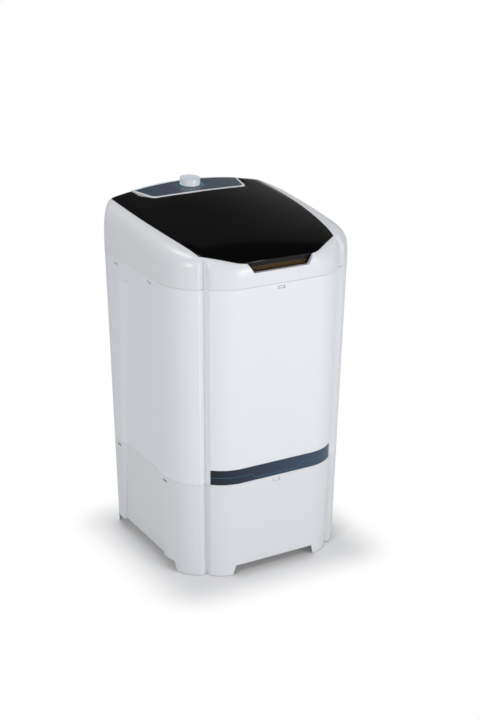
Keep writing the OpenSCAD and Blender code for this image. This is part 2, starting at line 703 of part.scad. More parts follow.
module front_band() color(slate) {
    z0 = base_h + 2;
    z1 = z0 + band_h;
    steps = [z0, z1];
    n_end = len(front_share) + arc_steps;
    at = function(inset, z) [for (i = [-n_end:n_end])
        let (h = flare_at(z) * half_outline(inset / flare_at(z), z), p = h[abs(i)])
        [i < 0 ? -p[0] : p[0], p[1], z]];
    a0 = at(-band_t, z0);
    a1 = at(-band_t, z1);
    b0 = at(0, z0);
    b1 = at(0, z1);
    m = len(a0);
    side = function(p, q) [for (i = [0:m - 2])
        for (f = [[p * m + i, q * m + i, q * m + i + 1], [p * m + i, q * m + i + 1, p * m + i + 1]]) f];
    polyhedron(points = concat(a0, a1, b1, b0),
        faces = concat(side(0, 1), side(1, 2), side(2, 3), side(3, 0),
            [[0, 3 * m, 2 * m, m], [m - 1, 2 * m - 1, 3 * m - 1, 4 * m - 1]]));
}
band_h = 31;
band_t = 0.5;

module rubber_feet() color(rubber) {
    corner_posts() rod(pad_d / 2, 0, pad_h - 2 - fit_gap);
}

// Flat service cover on the sloping rear wall
cover_tilt = atan((rear_wall_y(base_h) - rear_wall_y(0)) / base_h);
module on_rear_wall(x, z) {
    translate([x, rear_wall_y(z), z]) rotate([-cover_tilt, 0, 0]) children();
}
module cover_screw_places() {
    for (x = [-cover_half + 6, cover_half - 6], z = [cover_z0 + 6, cover_z1 - 6]) on_rear_wall(x, z) children();
}
module rear_cover() color(white) {
    z_mid = (cover_z0 + cover_z1) / 2;
    difference() {
        on_rear_wall(0, z_mid) box([-cover_half, 0.1, cover_z0 - z_mid], [cover_half, 2.1, cover_z1 - z_mid]);
        cover_screw_places() rotate([-90, 0, 0]) rod(2, -3, 5);
        // Cooling slots
        for (i = [-5:5]) on_rear_wall(i * 14, z_mid) box([-2.5, -2, -20], [2.5, 5, 20]);
    }
}
module rear_cover_screws() color(steel) {
    cover_screw_places() rotate([-90, 0, 0]) {
        rod(1.5, -7, 2.3);
        rod(3.6, 2.2, 4);
    }
}

// Lid

// Slab of the lid's surface between two depths below it
module lid_slab(depth) {
    nx = 16;
    ny = 22;
    xs = [for (i = [0:nx]) -180 + 360 * i / nx];
    ys = [for (j = [0:ny]) -194 + 390 * j / ny];
    m = (nx + 1) * (ny + 1);
    id = function(i, j, k) k * m + j * (nx + 1) + i;
    pts = concat([for (y = ys) for (x = xs) [x, y, top_z(x, y) - depth]],
        [for (y = ys) for (x = xs) [x, y, top_z(x, y)]]);
    faces = concat(
        [for (j = [0:ny - 1]) for (i = [0:nx - 1])
            for (f = [[id(i, j, 0), id(i + 1, j, 0), id(i + 1, j + 1, 0)],
                      [id(i, j, 0), id(i + 1, j + 1, 0), id(i, j + 1, 0)],
                      [id(i, j, 1), id(i + 1, j + 1, 1), id(i + 1, j, 1)],
                      [id(i, j, 1), id(i, j + 1, 1), id(i + 1, j + 1, 1)]]) f],
        [for (i = [0:nx - 1])
            for (f = [[id(i, 0, 0), id(i, 0, 1), id(i + 1, 0, 1), id(i + 1, 0, 0)],
                      [id(i, ny, 0), id(i + 1, ny, 0), id(i + 1, ny, 1), id(i, ny, 1)]]) f],
        [for (j = [0:ny - 1])
            for (f = [[id(0, j, 0), id(0, j + 1, 0), id(0, j + 1, 1), id(0, j, 1)],
                      [id(nx, j, 0), id(nx, j, 1), id(nx, j + 1, 1), id(nx, j + 1, 0)]]) f]);
    polyhedron(points = pts, faces = faces);
}

skirt_in = 1.2;         // the skirt stands back, so that it swings clear of the rim
module lid_panel() color(gloss_black) {
    difference() {
        union() {
            intersection() {
                lid_slab(lid_t);
                translate([0, 0, 600]) linear_extrude(200) polygon(lid_plan());
            }
            // Skirt along the outer edge, left out beside the console
            intersection() {
                lid_slab(skirt_h);
                translate([0, 0, 600]) linear_extrude(200) difference() {
                    offset(delta = -skirt_in) polygon(lid_plan());
                    offset(delta = -skirt_in - skirt_t) polygon(lid_plan());
                    translate([-ear_in - 18, 90]) square([2 * ear_in + 36, 120]);
                }
            }
            both_sides() {
                translate([knuckle_x, hinge_y, hinge_z]) rotate([0, 90, 0]) rod(knuckle_r, 0, knuckle_w);
                box([knuckle_x, hinge_y - 3, hinge_z],
                    [knuckle_x + knuckle_w, hinge_y + 3, top_z(knuckle_x + knuckle_w, hinge_y) - 1]);
            }
            // Bosses for the bumpers
            both_sides() for (p = rest_places) translate([p[0], p[1], 0])
                rod(4, rest_z(p) + bumper_h + fit_gap, top_z(p[0], p[1]) - 1);
        }
        both_sides() translate([knuckle_x - 1, hinge_y, hinge_z]) rotate([0, 90, 0])
            rod(pin_r, 0, knuckle_w + 2);
    }
}

// Smoked grip strip under the lid's front edge, seen in the notch
pull_h = 11;
module lid_pull() color(smoke_brown) {
    z1 = top_z(notch_half + 3, -lid_front + 4) - lid_t - fit_gap;
    box([-notch_half - 3, -lid_front + 4.2, z1 - pull_h - 7.3], [notch_half + 3, -lid_front + 6.4, z1]);
}

module lid_hinge_pins() color(steel) {
    both_sides() translate([hinge_x0 - 0.5, hinge_y, hinge_z]) rotate([0, 90, 0])
        rod(pin_r, 0, knuckle_x + knuckle_w - hinge_x0 + 0.6);
}

module lid_bumpers() color(rubber) {
    both_sides() for (p = rest_places) translate([p[0], p[1], 0])
        rod(4, rest_z(p) + fit_gap, rest_z(p) + bumper_h + fit_gap);
}

// Console

console_r = 172 * 172 / (2 * crown_rear);
console_tilt = atan((top_z(0, lid_datum_y) - top_z(0, console_front_y)) / (lid_datum_y - console_front_y));
console_floor_z = platform_z + platform_t + 24;

// Solid under the console's crowned surface, lowered by depth
module under_crown(depth) {
    translate([0, knob_y, top_z(0, knob_y) - depth]) rotate([console_tilt, 0, 0]) translate([0, 0, -console_r])
        rotate([-90, 0, 0]) cylinder(r = console_r, h = 240, center = true, $fn = 360);
}
module console_block(inset, back, z0, depth) {
    intersection() {
        translate([0, 0, z0]) linear_extrude(frame_z + 150 - z0) polygon(console_plan(inset, back));
        under_crown(depth);
    }
}

// The knob's axis, square to the console's surface
knob_face_z = top_z(0, knob_y);
module on_console() {
    translate([-knob_left, knob_y, knob_face_z]) rotate([console_tilt, 0, 0]) children();
}
module console_posts() {
    for (sx = [-1, 1], y = [rim_rear - 54.5, rim_rear - 10.5]) translate([sx * 84, y, 0]) children();
}

console_t = 3;
console_over = 1;       // reach of the console's plate beyond the rim's rear edge
skirt_back = -fit_gap;  // the console's rear skirt stands inside that edge
module console() color(white) {
    difference() {
        union() {
            difference() {
                console_block(0, console_over, console_floor_z, 0);
                under_crown(console_t);
            }
            difference() {
                console_block(0, skirt_back, platform_z + platform_t + fit_gap, 1);
                console_block(wall, skirt_back, platform_z, console_t - 0.1);
            }
            intersection() {
                console_posts() tube(4.5, 1.4 + run_gap, console_floor_z + fit_gap, 760);
                console_block(1, skirt_back, platform_z, 1.5);
            }
        }
        // Seat of the printed panel
        difference() {
            console_block(border_w, console_over, platform_z + 20, -5);
            under_crown(overlay_t + 0.1);
        }
        on_console() rod(timer_bush_r + fit_gap, -20, 10);
        console_posts() rod(1.4 + run_gap, console_floor_z - 5, platform_z + 38);
        timer_screw_places() rod(2.2, -12, 6);
    }
}

module console_overlay() color(slate) {
    difference() {
        console_block(border_w + 0.15, console_over, platform_z, 0.1);
        under_crown(overlay_t);
        on_console() rod(timer_bush_r + fit_gap, -20, 10);
    }
}

module console_screws() color(steel) {
    console_posts() translate([0, 0, platform_z]) mirror([0, 0, 1]) screw(1.4, 37, 4, 3);
}

timer_bush_r = 6;
timer_top = console_t + fit_gap + 0.5;   // the plate's underside is arched
timer_h = 28;
module timer_screw_places() {
    on_console() for (sx = [-1, 1]) translate([sx * 17, 0, 0]) children();
}
module timer_knob() color(knob_white) on_console() {
    difference() {
        union() {
            rod(knob_d / 2 + 0.6, 0.4, 2);
            rod(knob_d / 2, 1.9, knob_h - 1.2);
            translate([0, 0, knob_h - 1.3]) cylinder(r1 = knob_d / 2, r2 = knob_d / 2 - 1.2, h = 1.3);
        }
        rod(timer_stem_r + run_gap, 0, knob_h - 4);
        rod(timer_bush_r + 1, 0, 2.5);
    }
}
timer_stem_r = 3;
module timer_shaft() color(steel) on_console() {
    rod(timer_stem_r, -timer_top - timer_h + 3, knob_h - 4.2);
}
module timer_body() color(grey_plastic) on_console() {
    difference() {
        union() {
            box([-27, -23, -timer_top - timer_h], [27, 21, -timer_top]);
            rod(timer_bush_r, -timer_top - 1, -0.6);
        }
        rod(timer_stem_r + run_gap, -timer_top - timer_h - 1 + 3, 1);
        for (sx = [-1, 1]) translate([sx * 17, 0, 0]) rod(1.6, -timer_top - 10, 1);
    }
}
module timer_screws() color(steel) timer_screw_places() {
    rod(1.5, -timer_top - 9, -overlay_t - 0.6);
    rod(2.1, -overlay_t - 1.8, -overlay_t - 0.5);
}

// Tub and wash parts

module at_tub() {
    translate([0, -tub_y, 0]) children();
}
module at_drain() {
    at_tub() rotate(drain_angle) translate([drain_r, 0, 0]) children();
}
tub_floor_t = 3;
tub_rim_z = deck_z - 4;
hub_r = 20;
drain_bore = 11;
module wash_tub() color(white) {
    difference() {
        union() {
            at_tub() rotate_extrude($fn = 96) polygon([
                [0, tub_z], [tub_r_low + tub_wall - 8, tub_z], [tub_r_low + tub_wall, tub_z + 8],
                [tub_r_top + tub_wall, tub_rim_z], [tub_r_top, tub_rim_z],
                [tub_r_low, tub_z + tub_floor_t + 6], [tub_r_low - 6, tub_z + tub_floor_t],
                [0, tub_z + tub_floor_t]]);
            // Flange that hangs the tub in the body
            difference() {
                outline_prism(flange_z, flange_t, wall + fit_gap + 0.4);
                at_tub() rod(tub_r_top + 0.8, flange_z - 1, flange_z + flange_t + 1);
            }
            at_drain() rod(drain_bore + 2, tub_z - 22, tub_z + 1);
            // Ribs under the floor
            at_tub() for (a = [0:60:300]) rotate(a) box([hub_r + 42, -1.5, tub_z - 7], [100, 1.5, tub_z + 0.5]);
        }
        at_tub() rod(hub_r, tub_z - 1, tub_z + tub_floor_t + 1);
        at_drain() rod(drain_bore, tub_z - 23, tub_z + tub_floor_t + 1);
        tub_screw_places() rod(2.6, flange_z - 1, flange_z + flange_t + 1);
        translate([wire_x, wire_y, 0]) rod(wire_hole, flange_z - 1, flange_z + flange_t + 1);
        // Room for the frame's tongue
        y_in = -half_d * flare_at(body_top) + wall;
        box([-9, y_in - 1, flange_z - 1], [9, y_in + 3, flange_z + flange_t + 1]);
    }
}
module tub_screw_places() {
    y_f = -half_d * flare_at(flange_z) + 7;
    x_s = half_w * flare_at(flange_z) - 7;
    for (p = [[-60, y_f], [60, y_f], [-x_s, 0], [x_s, 0], [-90, -y_f], [90, -y_f]]) translate(p) children();
}
module tub_screws() color(steel) {
    tub_screw_places() translate([0, 0, flange_z + flange_t]) screw(1.9, 9, 3.4, 1.8);
}
module tub_seal() color(rubber) {
    at_tub() tube(tub_r_top + tub_wall + 1.5, tub_r_top - 0.5, tub_rim_z, deck_z);
}

pulsator_z = tub_z + tub_floor_t + 4;
hub_h = 42;
module pulsator() color(blue_plastic) at_tub() {
    difference() {
        union() {
            rotate_extrude($fn = 96) polygon([
                [0, pulsator_z], [pulsator_r - 4, pulsator_z], [pulsator_r, pulsator_z + 2],
                [pulsator_r, pulsator_z + 5], [pulsator_r - 3, pulsator_z + 7], [44, pulsator_z + 10],
                [26, pulsator_z + 16], [17, pulsator_z + 28], [14, pulsator_z + hub_h], [0, pulsator_z + hub_h]]);
            for (i = [0:blade_count - 1]) rotate(i * 360 / blade_count)
                translate([10, 0, 0]) rotate([90, 0, 0]) translate([0, 0, -4]) linear_extrude(8)
                    polygon([[0, pulsator_z + 5], [pulsator_r - 16, pulsator_z + 5],
                             [pulsator_r - 18, pulsator_z + 16], [pulsator_r - 30, pulsator_z + 22],
                             [20, pulsator_z + 30], [0, pulsator_z + hub_h - 6]]);
        }
        rod(shaft_r + run_gap, pulsator_z - 1, pulsator_z + hub_h - 8);
        rod(3.1, pulsator_z, pulsator_z + hub_h + 1);
        rod(7, pulsator_z + hub_h - 5, pulsator_z + hub_h + 1);
    }
}
pulley_top = chassis_z - 5;
pulley_z = pulley_top - pulley_w;
shaft_top = pulsator_z + hub_h - 8.2;
shaft_low = pulley_z - 12;
module pulsator_screw() color(steel) at_tub() {
    translate([0, 0, pulsator_z + hub_h - 5]) screw(3, 18, 6.2, 4);
}
module drive_shaft() color(steel) at_tub() {
    difference() {
        rod(shaft_r, shaft_low, shaft_top);
        rod(3, pulsator_z + hub_h - 24, shaft_top + 1);
    }
}
housing_bore = 13;
housing_z = chassis_z + chassis_t;
module shaft_seal() color(rubber) at_tub() {
    tube(hub_r - 0.05, shaft_r + run_gap, tub_z - 5.7, tub_z + tub_floor_t + 2);
}
module shaft_bushes() color("#b08d57") at_tub() {
    for (z = [housing_z + 0.5, tub_z - 24]) tube(housing_bore, shaft_r + run_gap, z, z + 16);
}
module bearing_housing() color(grey_plastic) at_tub() {
    difference() {
        union() {
            rod(48, housing_z, housing_z + 6);
            rod(22, housing_z + 5, tub_z - 6);
            rod(40, tub_z - 12, tub_z - 6);
            rod(28, tub_z - 7, tub_z);
            for (a = [30:60:330]) rotate(a) box([20, -2, housing_z + 5], [40, 2, tub_z - 11]);
        }
        rod(housing_bore, housing_z - 1, tub_z - 6);
        rod(hub_r, tub_z - 6, tub_z + 1);
        housing_bolt_places() rod(3.2, housing_z - 1, housing_z + 7);
    }
}
module housing_bolt_places() {
    for (a = [45:90:315]) rotate(a) translate([42, 0, 0]) children();
}
module housing_bolts() color(steel) at_tub() housing_bolt_places() {
    translate([0, 0, housing_z + 6]) screw(3, 6 + chassis_t + 4, 4.6, 4);
    rod(4.6, chassis_z - 3.6, chassis_z);
}

// Lint filter in its guide on the tub's rear wall
function tub_wall_r(z) = tub_r_low + tub_draft * (z - tub_z - tub_floor_t - 6) / (tub_rim_z - tub_z - tub_floor_t - 6);
filter_w = 56;
filter_t = 9;
filter_z0 = 440;
filter_y = tub_wall_r(filter_z0) - 12.5 - tub_y;
filter_z1 = 585;
filter_lift = 80;
module filter_guide() color(white) {
    difference() {
        intersection() {
            box([-filter_w / 2 - 4, filter_y - filter_t / 2 - 2.5, filter_z0 - 6],
                [filter_w / 2 + 4, filter_y + 49, filter_z1 - 12]);
            at_tub() rotate_extrude($fn = 96) polygon([[0, tub_z], [tub_r_low - 0.3, tub_z + tub_floor_t + 6],
                [tub_r_top - 0.3, tub_rim_z], [0, tub_rim_z]]);
        }
        box([-filter_w / 2 - fit_gap, filter_y - filter_t / 2 - fit_gap, filter_z0],
            [filter_w / 2 + fit_gap, filter_y + filter_t / 2 + fit_gap, filter_z1]);
        // Windows so that water passes the mesh
        for (z = [filter_z0 + 12:40:filter_z1 - 60])
            box([-filter_w / 2 + 6, filter_y - 31, z], [filter_w / 2 - 6, filter_y + 49, z + 30]);
        box([-filter_w / 2 + 4, filter_y - 21, filter_z1 - 30], [filter_w / 2 - 4, filter_y, filter_z1]);
    }
}
module lint_filter() color(blue_plastic) {
    difference() {
        union() {
            box([-filter_w / 2, filter_y - filter_t / 2, filter_z0 + fit_gap], [filter_w / 2, filter_y + filter_t / 2, filter_z1]);
            box([-16, filter_y - filter_t / 2, filter_z1 - 1], [16, filter_y - filter_t / 2 + 4, filter_z1 + 12]);
        }
        box([-filter_w / 2 + 4, filter_y - filter_t / 2 - 1, filter_z0 + 6], [filter_w / 2 - 4, filter_y + 1, filter_z1 - 8]);
        for (ix = [-2:2], iz = [0:8])
            box([ix * 9 - 3, filter_y, filter_z0 + 10 + iz * 14], [ix * 9 + 3, filter_y + 9, filter_z0 + 20 + iz * 14]);
    }
}
module drain_grille() color(grey_plastic) at_drain() {
    difference() {
        union() {
            rod(16, tub_z + tub_floor_t, tub_z + tub_floor_t + 2);
            tube(drain_bore - 0.1, drain_bore - 1.6, tub_z - 6, tub_z + tub_floor_t + 1);
        }
        for (a = [0:60:300]) rotate(a) translate([6.5, 0, 0]) rod(1.8, tub_z, tub_z + 10);
        rod(1.8, tub_z, tub_z + 10);
    }
}

// Drain hose inside the cabinet, from the tub's spigot to the outlet
hose_r = 16.4;          // across the corners of its twelve sides
hose_bore = 14;
drain_x = drain_r * cos(drain_angle);
drain_yy = -tub_y + drain_r * sin(drain_angle);
hose_top = tub_z - 4;
hose_end_y = half_d - 24;
hose_straight = 22;     // length on the spigots before the first bend
hose_ctrl = [[drain_x, drain_yy, hose_top - hose_straight], [drain_x, drain_yy, hose_top - 62],
             [outlet_x - 3, drain_yy, outlet_z + 30], [outlet_x, drain_yy + 24, outlet_z],
             [outlet_x, hose_end_y - 60, outlet_z], [outlet_x, hose_end_y - hose_straight, outlet_z]];
function spline_at(c, t) =
    let (n = len(c) - 1) [for (k = [0:2]) bernstein_sum(c, n, t, k)];
function bernstein_sum(c, n, t, k) =
    [for (i = 0, s = 0; i <= n + 1; s = i <= n ? s + choose(n, i) * pow(t, i) * pow(1 - t, n - i) * c[i][k] : s, i = i + 1)
        if (i == n + 1) s][0];
function choose(n, k) = k == 0 ? 1 : n * choose(n - 1, k - 1) / k;
hose_points = concat([[drain_x, drain_yy, hose_top]], [for (i = [0:12]) spline_at(hose_ctrl, i / 12)],
    [[outlet_x, hose_end_y, outlet_z]]);
function path_ring(path, i, r, sides, ref) =
    let (a = path[max(0, i - 1)], b = path[min(len(path) - 1, i + 1)],
         t = unit(i == 1 ? b - path[0] + (path[1] - path[0]) * 9 : b - a),
         u = unit(cross(t, ref)), v = cross(t, u))
    [for (s = [0:sides - 1]) path[i] + r * (cos(360 * s / sides) * u + sin(360 * s / sides) * v)];
module drain_hose() color(grey_plastic) {
    n = len(hose_points) - 1;
    ref = [1, 0.12, 0];
    ring_solid(concat([for (i = [0:n]) path_ring(hose_points, i, hose_r, 12, ref)],
        [for (i = [n:-1:0]) path_ring(hose_points, i, hose_bore, 12, ref)]));
}
module hose_clamps() color(steel) {
    at_drain() {
        tube(hose_r + 1.3, hose_r + fit_gap, hose_top - 12, hose_top - 4);
        translate([hose_r + 2.7, 0, hose_top - 8]) rotate([90, 0, 0]) translate([0, 0, -6]) cylinder(r = 2.2, h = 12);
    }
    translate([outlet_x, hose_end_y - 14, outlet_z]) rotate([-90, 0, 0]) {
        tube(hose_r + 1.3, hose_r + fit_gap, 0, 8);
        translate([0, -hose_r - 2.7, 4]) rotate([0, 90, 0]) translate([0, 0, -6]) cylinder(r = 2.2, h = 12);
    }
}
module drain_outlet() color(grey_plastic) translate([outlet_x, 0, outlet_z]) rotate([-90, 0, 0]) {
    wall_y = rear_wall_y(outlet_z);
    difference() {
        union() {
            rod(outlet_r - 0.4, hose_end_y - 18, wall_y + 1.2 + eps);
            rod(outlet_r, wall_y + 1.2, wall_y + outlet_l);
            rod(outlet_r + 7, wall_y - wall - 2.8, wall_y - wall - 0.6);
        }
        rod(outlet_r - 2.2, hose_end_y - 19, wall_y + outlet_l + 1);
    }
}
outlet_l = 11;

// Drive

plate_half = 66;
plate_front = post_front - 14;
plate_rear = half_d - 13.6;
module chassis_plate() color(steel) {
    difference() {
        union() {
            box([-plate_half, plate_front, chassis_z], [plate_half, plate_rear, chassis_z + chassis_t]);
            for (y = [post_front, post_rear])
                box([-post_x - 14, y - 14, chassis_z], [post_x + 14, y + 14, chassis_z + chassis_t]);
            // Folded edges stiffen the plate
            both_sides() box([plate_half - 3, plate_front + 32, chassis_z + 1],
                [plate_half, post_rear - 16, chassis_z + chassis_t + 12]);
        }
        at_tub() rod(16, chassis_z - 1, chassis_z + chassis_t + 1);
        at_tub() housing_bolt_places() rod(3.2, chassis_z - 1, chassis_z + chassis_t + 1);
        translate([0, motor_y, 0]) rod(14, chassis_z - 1, chassis_z + chassis_t + 1);
        motor_bolt_places() rod(3.4, chassis_z - 1, chassis_z + chassis_t + 1);
        corner_posts() rod(3, chassis_z - 1, chassis_z + chassis_t + 1);
    }
}
module chassis_bolts() color(steel) {
    corner_posts() translate([0, 0, chassis_z + chassis_t]) screw(2.4, chassis_t + 16, 5, 3.4);
}
module grooved_pulley(r, bore, z0) {
    mid = z0 + pulley_w / 2;
    half_g = belt_w / 2 + fit_gap;
    rim_half_w = half_g + 0.9;
    difference() {
        rotate_extrude($fn = 96) polygon([
            [bore, z0], [r, z0], [r, mid - rim_half_w], [r - groove_in_pulley, mid - half_g],
            [r - groove_in_pulley, mid + half_g], [r, mid + rim_half_w], [r, z0 + pulley_w], [bore, z0 + pulley_w]]);
        children();
    }
}
module drive_pulley() color("#3a3d42") at_tub() {
    grooved_pulley(big_pulley_r, shaft_r + run_gap, pulley_z) {
        for (a = [0:60:300]) rotate(a) translate([42, 0, 0]) rod(13, pulley_z - 1, pulley_z + pulley_w + 1);
    }
}
module pulley_nut() color(steel) at_tub() {
    tube(11, shaft_r + run_gap, pulley_z - 7, pulley_z);
}
// Belt: arcs round both pulleys joined by their outer tangents
module belt_plan(extra) {
    r1 = big_pulley_r - groove_in_pulley + fit_gap + extra;
    r2 = small_pulley_r - groove_in_pulley + fit_gap + extra;
    a = asin((r1 - r2) / (motor_y + tub_y));
    polygon(concat(arc(0, -tub_y, r1, 180 - a, 360 + a, 44), arc(0, motor_y, r2, a, 180 - a, 20)));
}
module drive_belt() color(rubber) {
    translate([0, 0, pulley_z + pulley_w / 2 - belt_w / 2]) linear_extrude(belt_w) difference() {
        belt_plan(belt_t);
        belt_plan(0);
    }
}
motor_flange_z = chassis_z + chassis_t + 8;
motor_top = motor_flange_z + 82;
module at_motor() {
    translate([0, motor_y, 0]) children();
}
motor_bolt_off = 43;
module motor_bolt_places() {
    at_motor() for (sx = [-1, 1], sy = [-1, 1]) translate([sx * motor_bolt_off, sy * motor_bolt_off, 0]) children();
}
module motor_body() color("#5c6066") {
    difference() {
        union() {
            at_motor() intersection() {
                box([-52, -52, motor_flange_z], [52, 52, motor_flange_z + 4]);
                rod(68, motor_flange_z, motor_flange_z + 4);
            }
            at_motor() {
                rod(motor_r - 4, motor_flange_z + 3, motor_top);
                rod(motor_r, motor_flange_z + 14, motor_top - 16);
                rod(14, motor_flange_z - 2, motor_top + 4);
            }
        }
        at_motor() rod(motor_shaft_r + run_gap, motor_flange_z - 3, motor_top + 5);
        motor_bolt_places() rod(3.2, motor_flange_z - 1, motor_flange_z + 5);
    }
}
fan_z = motor_top + 7;
module motor_shaft() color(steel) at_motor() {
    rod(motor_shaft_r, pulley_z - 8, fan_z + 11);
}
module motor_pulley() color("#3a3d42") at_motor() {
    grooved_pulley(small_pulley_r, motor_shaft_r + run_gap, pulley_z);
}
module motor_fan() color(grey_plastic) at_motor() {
    difference() {
        union() {
            rod(12, fan_z, fan_z + 10);
            rod(38, fan_z, fan_z + 1.6);
            for (a = [0:40:320]) rotate(a) box([10, -0.9, fan_z + 1], [36, 0.9, fan_z + 9]);
        }
        rod(motor_shaft_r + run_gap, fan_z - 1, fan_z + 11);
    }
}
module motor_mounts() color(rubber) motor_bolt_places() {
    tube(9, 3.4, chassis_z + chassis_t, motor_flange_z);
}
module motor_bolts() color(steel) motor_bolt_places() {
    translate([0, 0, motor_flange_z + 4]) screw(3, 4 + 8 + chassis_t + 6, 5, 4);
    rod(5, chassis_z - 4.6, chassis_z);
}
cap_x = 40;
cap_y = motor_y - 79;
cap_r = 16;
module capacitor() color("#c9ccd0") translate([cap_x, cap_y, 0]) {
    rod(cap_r, housing_z, housing_z + 62);
    for (sx = [-1, 1]) translate([sx * 6, 0, 0]) box([-0.5, -3, housing_z + 61], [0.5, 3, housing_z + 70]);
}
module capacitor_clamp() color(steel) translate([cap_x, cap_y, 0]) {
    tube(cap_r + 1.4, cap_r + 0.1, housing_z + 20, housing_z + 32);
    box([cap_r + 1, -6, housing_z], [cap_r + 2.6, 6, housing_z + 32]);
    box([cap_r - 14, -cap_r - 9, housing_z], [cap_r + 2.6, -cap_r - 1, housing_z + 1.6]);
    box([cap_r + 1, -cap_r - 9, housing_z], [cap_r + 2.6, -5, housing_z + 32]);
}
module cord_gland() color(rubber) translate([gland_x, 0, gland_z]) rotate([-90, 0, 0]) {
    wall_y = rear_wall_y(gland_z);
    difference() {
        union() {
            rod(gland_r, wall_y + 0.3, wall_y + 5);
            rod(gland_r - 2.2, wall_y - wall - 8, wall_y + 1);
            rod(gland_r, wall_y - wall - 4, wall_y - wall - 0.8);
        }
        rod(gland_bore, wall_y - wall - 9, wall_y + 6);
    }
}

// Wires from the gland up behind the tub, through the flange and the shelf, to the timer
wire_r = 3;
wire_x = 75;
wire_y = half_d - 20.6;
wire_hole = 6;
wire_end_z = 706;
wire_low = [[gland_x, half_d - 12, gland_z], [gland_x, half_d - 24, gland_z],
            [wire_x + 3, wire_y, gland_z + 20], [wire_x, wire_y, gland_z + 60], [wire_x, wire_y, gland_z + 110]];
wire_high = [[wire_x, wire_y, platform_z - 20], [wire_x, wire_y, wire_end_z],
             [wire_x - 18, wire_y, wire_end_z], [27 + fit_gap - knob_left, wire_y, wire_end_z]];
wire_points = concat([for (i = [0:8]) spline_at(wire_low, i / 8)], [for (i = [0:6]) spline_at(wire_high, i / 6)]);
module wiring_harness() color("#35383d") {
    n = len(wire_points) - 1;
    ref = [0.2, 1, 0.1];
    rings = [for (i = [0:n]) path_ring(wire_points, i, wire_r, 8, ref)];
    pts = [for (r = rings) for (p = r) p];
    polyhedron(points = pts, faces = concat([[for (s = [0:7]) s]], [[for (s = [7:-1:0]) n * 8 + s]],
        [for (i = [0:n - 1]) for (s = [0:7]) let (s2 = (s + 1) % 8)
            for (f = [[i * 8 + s, (i + 1) * 8 + s, (i + 1) * 8 + s2],
                      [i * 8 + s, (i + 1) * 8 + s2, i * 8 + s2]]) f]));
}

base_shell();
body_shell();
top_frame();
front_band();
rubber_feet();
rear_cover();
rear_cover_screws();
lid_panel();
lid_pull();
lid_hinge_pins();
lid_bumpers();
console();
console_overlay();
console_screws();
timer_knob();
timer_shaft();
timer_body();
timer_screws();
wash_tub();
tub_seal();
tub_screws();
pulsator();
pulsator_screw();
drive_shaft();
shaft_seal();
shaft_bushes();
bearing_housing();
housing_bolts();
lint_filter();
filter_guide();
drain_grille();
drain_hose();
hose_clamps();
drain_outlet();
chassis_plate();
chassis_bolts();
drive_pulley();
pulley_nut();
drive_belt();
motor_body();
motor_shaft();
motor_pulley();
motor_fan();
motor_mounts();
motor_bolts();
capacitor();
capacitor_clamp();
cord_gland();
wiring_harness();
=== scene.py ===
# %% [markdown]
# A compact washing machine with a tapered white cabinet, a gloss black lid and a
# printed console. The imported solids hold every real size, so this script only adds
# what the eye sees: smooth skins, rounded small parts, finishes, light and a camera.
# Everything is in metres, +Z up, and the front faces -Y.

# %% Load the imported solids
import json
import math
import bpy
from mathutils import Matrix, Vector

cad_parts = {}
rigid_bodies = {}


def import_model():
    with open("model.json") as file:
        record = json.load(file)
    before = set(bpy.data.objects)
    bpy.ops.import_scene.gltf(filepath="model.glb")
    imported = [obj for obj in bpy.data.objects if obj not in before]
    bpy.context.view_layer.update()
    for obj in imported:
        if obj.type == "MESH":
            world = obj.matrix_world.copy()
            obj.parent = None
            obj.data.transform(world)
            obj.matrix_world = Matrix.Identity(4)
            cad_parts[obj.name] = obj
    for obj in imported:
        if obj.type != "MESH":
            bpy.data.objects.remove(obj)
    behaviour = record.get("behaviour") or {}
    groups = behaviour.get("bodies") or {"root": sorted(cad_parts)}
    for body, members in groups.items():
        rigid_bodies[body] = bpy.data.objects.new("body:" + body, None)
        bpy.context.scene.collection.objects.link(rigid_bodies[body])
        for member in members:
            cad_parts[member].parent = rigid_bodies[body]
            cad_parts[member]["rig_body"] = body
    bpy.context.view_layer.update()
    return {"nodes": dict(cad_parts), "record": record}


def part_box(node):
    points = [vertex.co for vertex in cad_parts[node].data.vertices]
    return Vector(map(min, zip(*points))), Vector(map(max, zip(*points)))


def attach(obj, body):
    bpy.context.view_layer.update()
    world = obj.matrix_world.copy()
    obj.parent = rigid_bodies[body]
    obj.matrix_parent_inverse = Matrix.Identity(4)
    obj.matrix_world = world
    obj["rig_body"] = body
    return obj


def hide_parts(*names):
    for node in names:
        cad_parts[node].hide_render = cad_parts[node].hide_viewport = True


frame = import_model()
solids = frame["nodes"]
bpy.ops.object.select_all(action="DESELECT")

# %% [markdown]
# The camera comes first. It stands a little over three metres away, thirty degrees
# to the left of the front and twenty degrees above, with a long lens, so the
# cabinet's edges converge only slightly. A camera is placed by a matrix whose
# columns are its right, its up and its backward direction. The three angles are its
# turn, its rise and a slight roll.

# %% Camera
camera_degrees = (-30.26, 20.34, 0.35)
looked_at, camera_distance = Vector((0.02408, 0, 0.38554)), 3.0533
camera_lens, sensor_width = 73.47, 36


def place_camera():
    turn, rise, roll = (math.radians(v) for v in camera_degrees)
    back = Vector((math.sin(turn) * math.cos(rise), -math.cos(turn) * math.cos(rise), math.sin(rise)))
    level = Vector((math.cos(turn), math.sin(turn), 0))
    right = math.cos(roll) * level + math.sin(roll) * back.cross(level)
    matrix = Matrix((right, back.cross(right), back)).transposed().to_4x4()
    matrix.translation = looked_at + back * camera_distance
    data = bpy.data.cameras.new("camera")
    data.lens, data.sensor_width = camera_lens, sensor_width
    camera = bpy.data.objects.new("camera", data)
    camera.matrix_world = matrix
    bpy.context.scene.collection.objects.link(camera)
    bpy.context.scene.camera = camera
    return camera


camera = place_camera()
print("camera at", [round(v, 3) for v in camera.location])

